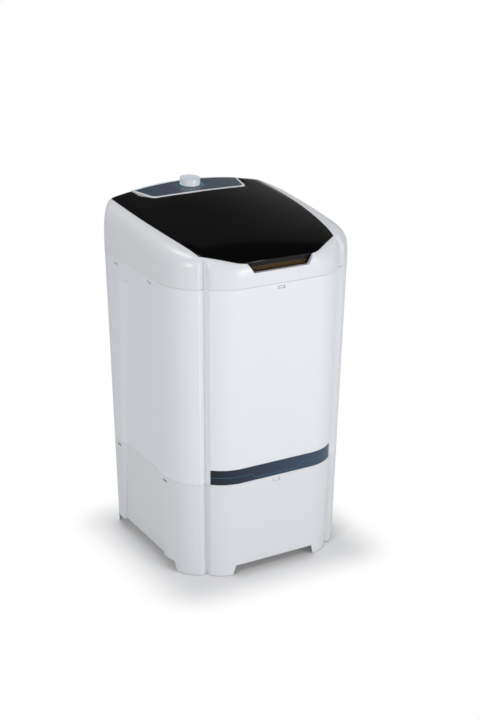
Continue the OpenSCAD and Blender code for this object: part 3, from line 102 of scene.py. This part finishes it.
# %% [markdown]
# Colours are noted as they look on screen, from 0 to 255. The shader wants linear
# light instead, so each one goes through the usual screen curve.

# %% Colours
def paint(red, green, blue):
    def linear(v):
        v = v / 255
        return v / 12.92 if v <= 0.04045 else ((v + 0.055) / 1.055) ** 2.4
    return (linear(red), linear(green), linear(blue), 1.0)


def node_of(tree, kind, x, y, **values):
    made = tree.nodes.new(kind)
    made.location = (x, y)
    for name, value in values.items():
        if name in made.inputs:
            made.inputs[name].default_value = value
        else:
            setattr(made, name, value)
    return made


# %% [markdown]
# Most pieces are moulded plastic. Seen close, moulded plastic isn't one colour: the
# melt leaves faint clouds of tint, the tool leaves a very fine skin on it, and the
# gloss varies a little. Three noise textures make that: a wide one mixes two near
# tints, a middling one moves the roughness, and a fine one drives a bump. A Mix node
# has sockets for numbers and for colours, and those for colours go by their index.

# %% Moulded plastic
mix_under, mix_over, mix_out = 6, 7, 2
patches_per_cloud, skin_depth, smoothest = 6, 0.0005, 0.02


def moulded(name, tint, other, rough, spread=0.04, grain=900.0, height=0.02, clouds=5.0, **sockets):
    material = bpy.data.materials.new(name)
    material.use_nodes = True
    tree = material.node_tree
    shader = tree.nodes["Principled BSDF"]
    place = node_of(tree, "ShaderNodeTexCoord", -1100, 0)
    cloud = node_of(tree, "ShaderNodeTexNoise", -850, 200, Scale=clouds, Detail=3.0, Roughness=0.5)
    tree.links.new(place.outputs["Object"], cloud.inputs["Vector"])
    mix = node_of(tree, "ShaderNodeMix", -500, 250, data_type="RGBA")
    mix.inputs[mix_under].default_value = tint
    mix.inputs[mix_over].default_value = other
    tree.links.new(cloud.outputs["Fac"], mix.inputs[0])
    tree.links.new(mix.outputs[mix_out], shader.inputs["Base Color"])
    patch = node_of(tree, "ShaderNodeTexNoise", -850, -50, Scale=clouds * patches_per_cloud, Detail=4.0)
    tree.links.new(place.outputs["Object"], patch.inputs["Vector"])
    span = node_of(tree, "ShaderNodeMapRange", -500, -50)
    span.inputs["To Min"].default_value = max(smoothest, rough - spread)
    span.inputs["To Max"].default_value = rough + spread
    tree.links.new(patch.outputs["Fac"], span.inputs["Value"])
    tree.links.new(span.outputs["Result"], shader.inputs["Roughness"])
    skin = node_of(tree, "ShaderNodeTexNoise", -850, -300, Scale=grain, Detail=2.0)
    tree.links.new(place.outputs["Object"], skin.inputs["Vector"])
    bump = node_of(tree, "ShaderNodeBump", -500, -300, Strength=height, Distance=skin_depth)
    tree.links.new(skin.outputs["Fac"], bump.inputs["Height"])
    tree.links.new(bump.outputs["Normal"], shader.inputs["Normal"])
    for key, value in sockets.items():
        shader.inputs[key.replace("_", " ")].default_value = value
    return material


cabinet_white = moulded("cabinet_white", paint(237, 240, 243), paint(235, 238, 242), 0.3, spread=0.012)
base_white = moulded("base_white", paint(230, 232, 235), paint(228, 230, 234), 0.32, spread=0.012)
rim_white = moulded("rim_white", paint(232, 234, 237), paint(230, 232, 236), 0.32, spread=0.012)
lid_black = moulded("lid_black", paint(4, 4, 5), paint(5, 5, 6), 0.05, spread=0.01, grain=1400.0, height=0.003,
                    Specular_IOR_Level=0.3)
smoked_brown = moulded("smoked_brown", paint(80, 63, 38), paint(72, 56, 34), 0.25, spread=0.02,
                       Specular_IOR_Level=0.1)
# Painted light: the grip's tint is lighter than the top's, to stand in for light the drum's side does not get.
knob_white = moulded("knob_white", paint(240, 246, 252), paint(236, 243, 250), 0.3, spread=0.02)
knob_face = moulded("knob_face", paint(232, 240, 250), paint(228, 236, 248), 0.22, spread=0.02)
tub_white = moulded("tub_white", paint(224, 228, 231), paint(214, 219, 224), 0.4, height=0.05)
water_blue = moulded("water_blue", paint(128, 166, 200), paint(114, 153, 190), 0.38, height=0.04)
housing_grey = moulded("housing_grey", paint(140, 146, 152), paint(126, 132, 139), 0.45, height=0.08)
hose_grey = moulded("hose_grey", paint(122, 127, 132), paint(106, 111, 117), 0.6, height=0.1)
sleeve_dark = moulded("sleeve_dark", paint(56, 60, 64), paint(44, 47, 52), 0.55, height=0.15, grain=1600.0)
black_rubber = moulded("black_rubber", paint(42, 43, 46), paint(30, 31, 34), 0.75, height=0.2, grain=1300.0)
print("plastics:", len(bpy.data.materials))

# %% [markdown]
# Metal parts come from three workshops. Zinc-plated steel has soft crystalline
# patches, which a cell texture gives in place of the clouds. Cast and bronze pieces
# are grainier, and the motor's enamel is a coat over sheet metal.

# %% Metals
def plated(name, tint, other, rough, cells=260.0, height=0.05):
    material = moulded(name, tint, other, rough, spread=0.08, grain=2400.0, height=height, clouds=40.0, Metallic=1.0)
    tree = material.node_tree
    place = tree.nodes["Texture Coordinate"]
    spangle = node_of(tree, "ShaderNodeTexVoronoi", -1100, 350, Scale=cells)
    tree.links.new(place.outputs["Object"], spangle.inputs["Vector"])
    fade = node_of(tree, "ShaderNodeMapRange", -700, 400)
    tree.links.new(spangle.outputs["Color"], fade.inputs["Value"])
    tree.links.new(fade.outputs["Result"], tree.nodes["Mix"].inputs[0])
    return material


zinc_steel = plated("zinc_steel", paint(186, 190, 194), paint(164, 169, 175), 0.34)
bronze = plated("bronze", paint(184, 150, 98), paint(160, 126, 78), 0.45, cells=900.0, height=0.15)
can_metal = plated("can_metal", paint(206, 209, 212), paint(194, 198, 203), 0.3, cells=90.0)
cast_dark = plated("cast_dark", paint(74, 77, 82), paint(56, 59, 64), 0.5, cells=1100.0, height=0.25)
enamel = moulded("enamel", paint(84, 89, 94), paint(72, 77, 83), 0.35, height=0.1, grain=700.0, Coat_Weight=0.3)
print("finishes:", len(bpy.data.materials))

# %% [markdown]
# The band across the front is a dark blue-grey film with one fine teal line. The
# line runs near half height, drops towards the lower edge before the middle, and
# climbs again after it. How far it drops comes from the distance to the middle, by
# one smooth step that serves both sides, and the distance of a point from the line's
# height decides where it is teal. The film is painted lighter towards its right end, a
# painted sheen that stands in for the light its gloss reflects there, so the place
# across, and not the clouds, mixes its two tints.

# %% Band film
def math_node(tree, x, y, operation, first, second=None):
    made = node_of(tree, "ShaderNodeMath", x, y, operation=operation)
    for socket, value in zip(made.inputs, (first, second)):
        if value is None:
            continue
        if isinstance(value, (int, float)):
            socket.default_value = value
        else:
            tree.links.new(value, socket)
    return made.outputs[0]


def span_node(tree, x, y, value, low, high, to_low, to_high, smooth=True):
    made = node_of(tree, "ShaderNodeMapRange", x, y)
    made.interpolation_type = "SMOOTHSTEP" if smooth else "LINEAR"
    tree.links.new(value, made.inputs["Value"])
    for key, number in zip(("From Min", "From Max", "To Min", "To Max"), (low, high, to_low, to_high)):
        made.inputs[key].default_value = number
    return made.outputs["Result"]


def axes_of(tree, x, y):
    place = tree.nodes["Texture Coordinate"]
    split = node_of(tree, "ShaderNodeSeparateXYZ", x, y)
    tree.links.new(place.outputs["Object"], split.inputs[0])
    return split.outputs[0], split.outputs[1], split.outputs[2]


def tint_over(tree, x, y, mask, under, colour):
    mix = node_of(tree, "ShaderNodeMix", x, y, data_type="RGBA")
    tree.links.new(mask, mix.inputs[0])
    tree.links.new(under, mix.inputs[mix_under])
    mix.inputs[mix_over].default_value = colour
    return mix.outputs[mix_out]


band_low, band_high = (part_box("front_band")[i].z for i in (0, 1))
# The film's two tints are its dark left end and the lighter right end of a painted sheen.
band_film = moulded("band_film", paint(26, 34, 42), paint(66, 84, 106), 0.26, spread=0.02, Specular_IOR_Level=0.3)
painted_sheen_left, painted_sheen_right = -0.15, 0.13
line_z = (band_low + band_high) / 2 - 0.0005
drop_inner, drop_outer, line_drop = 0.046, 0.062, 0.0095
line_solid, line_gone = 0.0004, 0.0009


def print_band(material):
    tree = material.node_tree
    film = tree.nodes["Mix"]
    x, y, z = axes_of(tree, -1100, 700)
    # Painted sheen: the place across x mixes the film from its dark tint to its light one, for the reflection on its
    # right end.
    tree.links.new(span_node(tree, -800, 900, x, painted_sheen_left, painted_sheen_right, 0.0, 1.0, smooth=False), film.inputs[0])
    away = math_node(tree, -900, 700, "ABSOLUTE", x)
    drop = span_node(tree, -700, 700, away, drop_inner, drop_outer, line_drop, 0.0)
    height = math_node(tree, -500, 700, "ADD", z, drop)
    off = math_node(tree, -350, 700, "ABSOLUTE", math_node(tree, -420, 640, "SUBTRACT", height, line_z))
    line = span_node(tree, -200, 700, off, line_solid, line_gone, 1.0, 0.0)
    out = tint_over(tree, -50, 500, line, film.outputs[mix_out], paint(52, 94, 116))
    tree.links.new(out, tree.nodes["Principled BSDF"].inputs["Base Color"])


print_band(band_film)
print("band from", round(band_low, 4), "to", round(band_high, 4))

# %% [markdown]
# The console carries a slate film, painted a little greyer towards its right end as a
# painted sheen for the light its gloss reflects there. Round the knob it has a thin
# ring, green on one side and light blue on the other, and short pale marks where the
# timer's steps are. Ring and marks are drawn by radius and angle about the knob's
# axis, whose place is read from the frame's own joint.

# %% Console film
panel_film = moulded("panel_film", paint(72, 84, 98), paint(68, 80, 94), 0.3, spread=0.02, Specular_IOR_Level=0.2)
knob_joint = next(j for j in frame["record"]["behaviour"]["joints"] if j["name"] == "knob_turn")
knob_place, knob_axis = Vector(knob_joint["pos_m"]), Vector(knob_joint["axis"])
dial_sheen_left, dial_sheen_right = -0.11, 0.12
ring_radius, ring_solid, ring_gone = 0.0272, 0.0008, 0.0014
arc_middles, arc_halves, arc_fade = (-2.5, -0.1), (1.3, 1.05), 0.06
arc_colours = (paint(28, 128, 116), paint(96, 184, 222))
mark_count, mark_radius, mark_solid, mark_gone = 12.0, 0.0345, 0.0018, 0.0024
mark_starts, mark_full = 0.9, 0.96


def print_dial(material):
    tree = material.node_tree
    x, y, z = axes_of(tree, -1500, 700)
    u = math_node(tree, -1300, 750, "SUBTRACT", x, knob_place.x)
    v = math_node(tree, -1300, 600, "SUBTRACT", y, knob_place.y)
    radius = math_node(tree, -1000, 700, "SQRT", math_node(
        tree, -1100, 700, "ADD", math_node(tree, -1200, 760, "MULTIPLY", u, u),
        math_node(tree, -1200, 640, "MULTIPLY", v, v)))
    angle = math_node(tree, -1150, 500, "ARCTAN2", v, u)
    ring = math_node(tree, -800, 700, "ABSOLUTE", math_node(tree, -900, 700, "SUBTRACT", radius, ring_radius))
    on_ring = span_node(tree, -650, 700, ring, ring_solid, ring_gone, 1.0, 0.0)
    # Painted sheen: across x the film is mixed towards a greyer tint, for the light its gloss reflects on the right.
    across = span_node(tree, -650, 950, x, dial_sheen_left, dial_sheen_right, 0.0, 1.0, smooth=False)
    out = tint_over(tree, -450, 950, across, tree.nodes["Mix"].outputs[mix_out], paint(82, 90, 100))
    for row, (toward, half, colour) in enumerate(zip(arc_middles, arc_halves, arc_colours)):
        turned = math_node(tree, -1000, 500 - 150 * row, "SUBTRACT", angle, toward)
        near = math_node(tree, -850, 500 - 150 * row, "COSINE", turned)
        inside = span_node(tree, -650, 500 - 150 * row, near,
                           math.cos(half + arc_fade), math.cos(half - arc_fade), 0.0, 1.0)
        arc = math_node(tree, -450, 500 - 150 * row, "MULTIPLY", on_ring, inside)
        out = tint_over(tree, -300 + 150 * row, 500, arc, out, colour)
    step = math_node(tree, -800, 150, "SINE", math_node(tree, -900, 150, "MULTIPLY", angle, mark_count))
    tick = span_node(tree, -650, 150, step, mark_starts, mark_full, 0.0, 1.0)
    far = math_node(tree, -800, 0, "ABSOLUTE", math_node(tree, -900, 0, "SUBTRACT", radius, mark_radius))
    on_mark = span_node(tree, -650, 0, far, mark_solid, mark_gone, 1.0, 0.0)
    out = tint_over(tree, 0, 500, math_node(tree, -400, 100, "MULTIPLY", tick, on_mark), out, paint(150, 160, 170))
    tree.links.new(out, tree.nodes["Principled BSDF"].inputs["Base Color"])


print_dial(panel_film)
print("dial about", [round(v, 4) for v in knob_place])

# %% [markdown]
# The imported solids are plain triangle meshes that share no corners, so they would
# show every facet. For each one a copy is merged and shaded smooth, except across
# real edges, and the copy stands for the solid. An angle tells a rounded corner from
# an edge. Where a piece has an edge width, the flat triangles of each face are first
# dissolved into one, and a narrow bevel modifier rounds the sharp edges that are left.

# %% Smooth skins
merge_within, flat_within, sharp_from = 0.00002, math.radians(0.15), math.radians(50)


def alone(piece):
    bpy.ops.object.select_all(action="DESELECT")
    piece.select_set(True)
    bpy.context.view_layer.objects.active = piece


def edge_round(piece, width):
    bpy.ops.object.mode_set(mode="EDIT")
    bpy.ops.mesh.select_all(action="SELECT")
    bpy.ops.mesh.dissolve_limited(angle_limit=flat_within)
    bpy.ops.object.mode_set(mode="OBJECT")
    bevel = piece.modifiers.new("edges", "BEVEL")
    bevel.width, bevel.segments = width, 3
    bevel.limit_method, bevel.angle_limit = "ANGLE", sharp_from
    bpy.ops.object.modifier_apply(modifier="edges")


def skin_of(node, material, edge, angle):
    piece = bpy.data.objects.new(node + "_skin", solids[node].data.copy())
    bpy.context.scene.collection.objects.link(piece)
    alone(piece)
    bpy.ops.object.mode_set(mode="EDIT")
    bpy.ops.mesh.select_all(action="SELECT")
    bpy.ops.mesh.remove_doubles(threshold=merge_within)
    bpy.ops.object.mode_set(mode="OBJECT")
    bpy.ops.mesh.customdata_custom_splitnormals_clear()
    if edge:
        edge_round(piece, edge)
    bpy.ops.object.shade_smooth_by_angle(angle=math.radians(angle))
    piece.data.materials.clear()
    piece.data.materials.append(material)
    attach(piece, solids[node]["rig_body"])
    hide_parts(node)
    piece.select_set(False)
    return piece


# %% [markdown]
# The first list gives each node its finish. Moulded, turned and pressed pieces have no
# razor edge, so the second list gives them the small radius that their tool leaves.
# The angle is smaller on the two wall sections, because the rear slope of their side
# recess is only about fifteen degrees and should stay crisp.

# %% Finishes and edges
finish_of = {
    "base_shell": base_white, "body_shell": cabinet_white, "top_frame": rim_white,
    "front_band": band_film, "rubber_feet": black_rubber, "rear_cover": base_white,
    "lid_panel": lid_black, "lid_pull": smoked_brown,
    "lid_hinge_pins": zinc_steel, "lid_bumpers": black_rubber, "console": rim_white,
    "console_overlay": panel_film, "console_screws": zinc_steel,
    "timer_shaft": zinc_steel, "timer_body": housing_grey, "timer_screws": zinc_steel,
    "wash_tub": tub_white, "tub_seal": black_rubber, "tub_screws": zinc_steel,
    "pulsator": water_blue, "pulsator_screw": zinc_steel, "drive_shaft": zinc_steel,
    "shaft_seal": black_rubber, "shaft_bushes": bronze, "bearing_housing": housing_grey,
    "housing_bolts": zinc_steel, "lint_filter": water_blue, "filter_guide": tub_white,
    "drain_grille": housing_grey, "drain_hose": hose_grey, "hose_clamps": zinc_steel,
    "drain_outlet": housing_grey, "chassis_plate": zinc_steel, "chassis_bolts": zinc_steel,
    "drive_pulley": cast_dark, "pulley_nut": zinc_steel, "drive_belt": black_rubber,
    "motor_body": enamel, "motor_shaft": zinc_steel, "motor_pulley": cast_dark,
    "motor_fan": housing_grey, "motor_mounts": black_rubber, "motor_bolts": zinc_steel,
    "capacitor": can_metal, "capacitor_clamp": zinc_steel, "cord_gland": black_rubber,
    "wiring_harness": sleeve_dark,
}
edge_of = {
    "lid_panel": 0.0009, "lid_pull": 0.0005, "console": 0.0005, "rear_cover": 0.0005, "rubber_feet": 0.0012,
    "lid_bumpers": 0.0006, "pulsator": 0.0012,
    "lint_filter": 0.0005, "filter_guide": 0.0005, "drain_grille": 0.0004, "drain_outlet": 0.0005,
    "cord_gland": 0.0008, "tub_seal": 0.0003, "bearing_housing": 0.0008, "motor_body": 0.001,
    "drive_pulley": 0.0006, "motor_pulley": 0.0005, "motor_fan": 0.0003, "motor_mounts": 0.0006,
    "capacitor": 0.0002, "chassis_plate": 0.0004, "timer_body": 0.0008, "pulley_nut": 0.0006,
    "hose_clamps": 0.0002, "capacitor_clamp": 0.0002, "wash_tub": 0.0006, "chassis_bolts": 0.0005,
    "housing_bolts": 0.0005, "motor_bolts": 0.0005, "tub_screws": 0.0005, "shaft_seal": 0.0005,
}
smooth_up_to, recess_smooth = 28.0, 11.0
angle_of = {"body_shell": recess_smooth, "base_shell": recess_smooth}
skins = [skin_of(name, material, edge_of.get(name, 0.0), angle_of.get(name, smooth_up_to))
         for name, material in finish_of.items()]
print("skins:", len(skins), "faces:", sum(len(skin.data.polygons) for skin in skins))

# %% [markdown]
# The timer knob is turned and hollow on the real machine: a smooth drum with a
# shallow dish in its top, a rounded rim round that dish and a narrow flange at its
# foot. It starts as a cylinder. Its top face is inset and pushed down twice for the
# dish, its foot is widened, and a bevel modifier rounds the sharp edges. Then it is
# tilted onto the console, which slopes forward. The top has a slightly glossier
# finish than the grip, and the grip is painted lighter than the top: painted light
# that stands in for light the drum's side does not get.

# %% Timer knob
def pick_faces(piece, test):
    bpy.ops.object.mode_set(mode="OBJECT")
    for polygon in piece.data.polygons:
        polygon.select = test(polygon)
    for edge in piece.data.edges:
        edge.select = False
    for vertex in piece.data.vertices:
        vertex.select = False
    for polygon in piece.data.polygons:
        if polygon.select:
            for index in polygon.vertices:
                piece.data.vertices[index].select = True
    bpy.ops.object.mode_set(mode="EDIT")
    bpy.context.tool_settings.mesh_select_mode = (False, False, True)


turned_smooth = math.radians(30)


def finished(piece, material, body, stands_for=None):
    alone(piece)
    for modifier in list(piece.modifiers):
        bpy.ops.object.modifier_apply(modifier=modifier.name)
    bpy.ops.object.transform_apply(location=True, rotation=True, scale=True)
    bpy.ops.object.shade_smooth_by_angle(angle=turned_smooth)
    piece.data.materials.clear()
    piece.data.materials.append(material)
    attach(piece, body)
    if stands_for:
        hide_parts(stands_for)
    piece.select_set(False)
    return piece


def rounded(piece, width, segments=3, angle=30.0):
    bevel = piece.modifiers.new("rounding", "BEVEL")
    bevel.width, bevel.segments = width, segments
    bevel.limit_method, bevel.angle_limit = "ANGLE", math.radians(angle)
    return piece


console_tilt = math.atan2(knob_axis.y, -knob_axis.z)
drum_r, drum_h, edge_r = 0.02125, 0.0128, 0.0007
rim_width, rim_drop, dish_slope, dish_drop = 0.0024, 0.0006, 0.004, 0.0003
flange_share, flange_h, foot_lift = 1.028, 0.0012, 0.0016
nearly_straight, top_from = 0.9, 0.95


def turn_knob(foot, tilt):
    bpy.ops.object.select_all(action="DESELECT")
    bpy.ops.mesh.primitive_cylinder_add(vertices=96, radius=drum_r, depth=drum_h, location=(0, 0, drum_h / 2))
    knob = bpy.context.object
    knob.name = "knob_drum"
    bpy.ops.object.transform_apply(location=True)
    pick_faces(knob, lambda p: p.normal.z > nearly_straight)
    bpy.ops.mesh.inset(thickness=rim_width)
    bpy.ops.transform.translate(value=(0, 0, -rim_drop))
    bpy.ops.mesh.inset(thickness=dish_slope)
    bpy.ops.transform.translate(value=(0, 0, -dish_drop))
    pick_faces(knob, lambda p: p.normal.z < -nearly_straight)
    bpy.ops.mesh.extrude_region_move(TRANSFORM_OT_translate={"value": (0, 0, 0)})
    bpy.ops.transform.resize(value=(flange_share, flange_share, 1))
    bpy.ops.mesh.extrude_region_move(TRANSFORM_OT_translate={"value": (0, 0, -flange_h)})
    bpy.ops.object.mode_set(mode="OBJECT")
    rounded(knob, edge_r)
    knob.matrix_world = Matrix.Translation(foot) @ Matrix.Rotation(tilt, 4, "X")
    finished(knob, knob_white, "knob", "timer_knob")
    knob.data.materials.append(knob_face)
    # Faces that point up take the top's finish. The others keep the grip's, which is painted lighter as painted
    # light.
    for polygon in knob.data.polygons:
        polygon.material_index = 1 if polygon.normal.z > top_from else 0
    return knob


knob_foot = knob_place + Matrix.Rotation(console_tilt, 3, "X") @ Vector((0, 0, foot_lift))
turn_knob(knob_foot, console_tilt)
print("knob:", round(drum_r * 2000, 1), "mm across")

# %% [markdown]
# The service cover at the back is held by four pan-head screws, whose cross recess
# is what one sees of them. The head is a short cylinder with a rounded edge. Two
# thin bars make a cross, and a boolean modifier cuts it out of the head. One screw
# is made as a pattern, and a copy of it, turned a little differently each time, stands
# at each corner of the cover. The places are read from the solids: in each quarter,
# the points farthest along the axis are the rim of the head, so their average is its
# centre.

# %% Cover screws
cover_lean = math.radians(1.18)
cover_axis = Vector((0, math.cos(cover_lean), -math.sin(cover_lean)))
rim_within, shank_overlap = 0.00002, 0.0002
head_round, head_round_from = 0.35, 60.0
slot_length, slot_width, slot_depth = 1.15, 0.2, 1.1
first_turn, next_turn = 0.3, 0.5


def head_centres(node, axis):
    points = [vertex.co for vertex in solids[node].data.vertices]
    middle = sum((p.z for p in points)) / len(points)
    centres = []
    for left in (True, False):
        for low in (True, False):
            near = [p for p in points if (p.x < 0) == left and (p.z < middle) == low]
            top = max(p.dot(axis) for p in near)
            rim = [p for p in near if p.dot(axis) > top - rim_within]
            centres.append(sum(rim, Vector()) / len(rim))
    return centres


def pan_head(radius, height, shank_r, shank_l):
    bpy.ops.object.select_all(action="DESELECT")
    bpy.ops.mesh.primitive_cylinder_add(vertices=48, radius=radius, depth=height, location=(0, 0, -height / 2))
    head = bpy.context.object
    rounded(head, height * head_round, 4, head_round_from)
    bpy.ops.object.modifier_apply(modifier="rounding")
    bpy.ops.mesh.primitive_cube_add(size=1, location=(0, 0, 0))
    bar = bpy.context.object
    bar.scale = (radius * slot_length, radius * slot_width, height * slot_depth)
    bpy.ops.object.transform_apply(scale=True)
    bpy.ops.object.duplicate()
    bpy.ops.transform.rotate(value=math.pi / 2, orient_axis="Z", center_override=(0, 0, 0))
    bar.select_set(True)
    bpy.context.view_layer.objects.active = bar
    bpy.ops.object.join()
    cut = head.modifiers.new("cross", "BOOLEAN")
    cut.object, cut.operation, cut.solver, cut.use_self = bar, "DIFFERENCE", "EXACT", True
    alone(head)
    bpy.ops.object.modifier_apply(modifier="cross")
    bpy.data.objects.remove(bar)
    bpy.ops.mesh.primitive_cylinder_add(vertices=32, radius=shank_r, depth=shank_l,
                                        location=(0, 0, shank_overlap - height - shank_l / 2))
    head.select_set(True)
    bpy.context.view_layer.objects.active = head
    bpy.ops.object.join()
    return head


def drive_screws(node, axis, radius, height, shank_r, shank_l):
    pattern = pan_head(radius, height, shank_r, shank_l)
    turn = axis.to_track_quat("Z", "Y").to_matrix().to_4x4()
    for count, centre in enumerate(head_centres(node, axis)):
        screw = bpy.data.objects.new(f"{node}_{count}", pattern.data.copy())
        bpy.context.scene.collection.objects.link(screw)
        spin = Matrix.Rotation(next_turn * count + first_turn, 4, "Z")
        screw.matrix_world = Matrix.Translation(centre) @ turn @ spin
        finished(screw, zinc_steel, "cabinet", node)
    bpy.data.objects.remove(pattern)


drive_screws("rear_cover_screws", cover_axis, radius=0.0036, height=0.0018, shank_r=0.0015, shank_l=0.0092)

# %% [markdown]
# The cabinet's sections snap together. In each small window at the sides one sees
# the hook of the neighbouring section, a little behind the wall's face, with a dark
# slit under it. A hook starts as a cube of its size. Its lower front edge is pulled in
# to a ramp, and a bevel rounds its edges. It sits as far above the window's middle as
# it lies behind the wall, which leaves the slit. The wall leans, so its x at a height
# comes from its taper.

# %% Snap hooks
shell_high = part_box("body_shell")[1]
wall_taper, ramp_share, same_place, hook_edge = 0.111, 0.4, 1e-5, 0.0003


def wall_x(height):
    return shell_high.x * (1 + wall_taper * height) / (1 + wall_taper * shell_high.z)


def snap_hook(name, side, along, height, size, sunk):
    bpy.ops.object.select_all(action="DESELECT")
    face = wall_x(height) - sunk
    bpy.ops.mesh.primitive_cube_add(size=1, location=(side * (face - size[0] / 2), along, height + sunk))
    hook = bpy.context.object
    hook.name = name
    hook.scale = size
    bpy.ops.object.transform_apply(location=True, rotation=True, scale=True)
    low = min(v.co.z for v in hook.data.vertices)
    out = max(abs(v.co.x) for v in hook.data.vertices)
    for vertex in hook.data.vertices:
        if vertex.co.z < low + same_place and abs(vertex.co.x) > out - same_place:
            vertex.co.x -= side * size[0] * ramp_share
    rounded(hook, hook_edge, 2)
    finished(hook, rim_white, "cabinet")
    return hook


hook_rows = (("upper_hook", (-0.046, 0.101), 0.603, (0.0016, 0.0146, 0.0048), 0.0004),
             ("lower_hook", (-0.084, 0.124), 0.196, (0.0014, 0.0136, 0.0036), 0.001))
hooks = []
for side in (-1, 1):
    for title, places, height, size, sunk in hook_rows:
        for along in places:
            hooks.append(snap_hook(f"{title}_{len(hooks)}", side, along, height, size, sunk))
print("snap hooks:", len(hooks))

# %% [markdown]
# The studio is a white floor under an even sky. Close to the machine the floor is
# ordinary matt white and takes its shadow. Farther out it turns into plain white
# for the camera, so that no horizon shows: the distance from the machine's footprint
# mixes the two.

# %% Studio floor
floor_width, floor_tint, floor_lift = 24, (0.8, 0.8, 0.805, 1), 0.09
foot_middle, foot_half = (0.01, 0.02, 0), (0.17, 0.16, 0)
shadow_from, shadow_to = 0.0, 0.13


def studio_floor():
    bpy.ops.mesh.primitive_plane_add(size=floor_width, location=(0, 0, 0))
    floor = bpy.context.object
    floor.name = "studio_floor"
    material = bpy.data.materials.new("floor_white")
    material.use_nodes = True
    tree = material.node_tree
    matt = tree.nodes["Principled BSDF"]
    matt.inputs["Base Color"].default_value = floor_tint
    matt.inputs["Roughness"].default_value = 0.9
    matt.inputs["Specular IOR Level"].default_value = 0.0
    matt.inputs["Emission Color"].default_value = (1, 1, 1, 1)
    rays = node_of(tree, "ShaderNodeLightPath", -900, 300)
    place = node_of(tree, "ShaderNodeTexCoord", -1300, 0)
    away = place.outputs["Object"]
    for column, (operation, second) in enumerate((("ADD", foot_middle), ("ABSOLUTE", None),
                                                  ("SUBTRACT", foot_half), ("MAXIMUM", (0, 0, 0)))):
        step = node_of(tree, "ShaderNodeVectorMath", -1250 + 110 * column, 0, operation=operation)
        tree.links.new(away, step.inputs[0])
        if second:
            step.inputs[1].default_value = second
        away = step.outputs["Vector"]
    reach = node_of(tree, "ShaderNodeVectorMath", -820, 0, operation="LENGTH")
    tree.links.new(away, reach.inputs[0])
    far = span_node(tree, -700, 0, reach.outputs["Value"], shadow_from, shadow_to, 0.0, 1.0)
    lift = math_node(tree, -400, -300, "MULTIPLY", rays.outputs["Is Camera Ray"], floor_lift)
    tree.links.new(lift, matt.inputs["Emission Strength"])
    plain = node_of(tree, "ShaderNodeEmission", -300, 300, Strength=1.0)
    mix = node_of(tree, "ShaderNodeMixShader", 200, 200)
    tree.links.new(math_node(tree, -400, 100, "MULTIPLY", far, rays.outputs["Is Camera Ray"]), mix.inputs[0])
    tree.links.new(matt.outputs[0], mix.inputs[1])
    tree.links.new(plain.outputs[0], mix.inputs[2])
    tree.links.new(mix.outputs[0], tree.nodes["Material Output"].inputs["Surface"])
    floor.data.materials.append(material)
    return floor


print("floor:", studio_floor().name)

# %% [markdown]
# The sky lights the matt surfaces evenly, a little more from above than from the
# sides, and it is white for the camera. For glossy and transmission rays it is a
# room: bright at the horizon, a dim wall that is lighter on the right, and a dark
# ceiling, so the black lid stays black and shows only a faint sheen. Each part of the
# room is a ramp, noted as where it starts and ends and its strength at both. Three
# disk lamps, all aimed at the middle of the cabinet, add soft shape to the white walls.

# %% Sky and lamps
aimed_at = Vector((0, 0, 0.4))
sky_tint, sky_ramp = (0.975, 0.985, 1.0, 1), (0.0, 0.9, 0.4, 0.46)
horizon_ramp = (-0.02, 0.24, 0.5, 0.03)
right_wall_ramp = (0.4, 0.75, 0.07, 0.2)
ceiling_ramp = (0.66, 0.74, 1.0, 0.0)


def soft_lamp(name, place, size, power):
    data = bpy.data.lights.new(name, "AREA")
    data.shape, data.size, data.energy = "DISK", size, power
    lamp = bpy.data.objects.new(name, data)
    lamp.location = place
    lamp.rotation_euler = (aimed_at - Vector(place)).to_track_quat("-Z", "Y").to_euler()
    bpy.context.scene.collection.objects.link(lamp)
    return lamp


def room_sky():
    world = bpy.data.worlds.new("sky")
    bpy.context.scene.world = world
    world.use_nodes = True
    tree = world.node_tree
    light = tree.nodes["Background"]
    light.inputs["Color"].default_value = sky_tint
    place = node_of(tree, "ShaderNodeTexCoord", -1100, -300)
    split = node_of(tree, "ShaderNodeSeparateXYZ", -900, -300)
    tree.links.new(place.outputs["Generated"], split.inputs[0])
    toward_x, height = split.outputs[0], split.outputs[2]
    tree.links.new(span_node(tree, -500, 100, height, *sky_ramp), light.inputs["Strength"])
    low = span_node(tree, -650, -100, height, *horizon_ramp)
    wall = span_node(tree, -650, -300, toward_x, *right_wall_ramp)
    below_ceiling = span_node(tree, -650, -500, height, *ceiling_ramp)
    room = math_node(tree, -450, -300, "MAXIMUM", low, math_node(tree, -550, -400, "MULTIPLY", wall, below_ceiling))
    rays = node_of(tree, "ShaderNodeLightPath", -900, 300)
    seen = node_of(tree, "ShaderNodeBackground", 0, -200)
    seen.inputs["Color"].default_value = (1, 1, 1, 1)
    tree.links.new(math_node(tree, -200, -300, "MAXIMUM", room, rays.outputs["Is Camera Ray"]),
                   seen.inputs["Strength"])
    shown = math_node(tree, -300, 300, "MAXIMUM", rays.outputs["Is Camera Ray"], math_node(
        tree, -450, 200, "MAXIMUM", rays.outputs["Is Glossy Ray"], rays.outputs["Is Transmission Ray"]))
    mix = node_of(tree, "ShaderNodeMixShader", 200, 0)
    tree.links.new(shown, mix.inputs[0])
    tree.links.new(light.outputs[0], mix.inputs[1])
    tree.links.new(seen.outputs[0], mix.inputs[2])
    tree.links.new(mix.outputs[0], tree.nodes["World Output"].inputs["Surface"])


room_sky()
soft_lamp("front_lamp", (1.0, -2.75, 0.75), size=0.9, power=28)
soft_lamp("top_lamp", (0.0, 0.9, 2.8), size=1.0, power=15)
soft_lamp("left_lamp", (-2.3, -1.35, 1.9), size=0.4, power=20)
scene = bpy.context.scene
scene.view_settings.view_transform = "Standard"
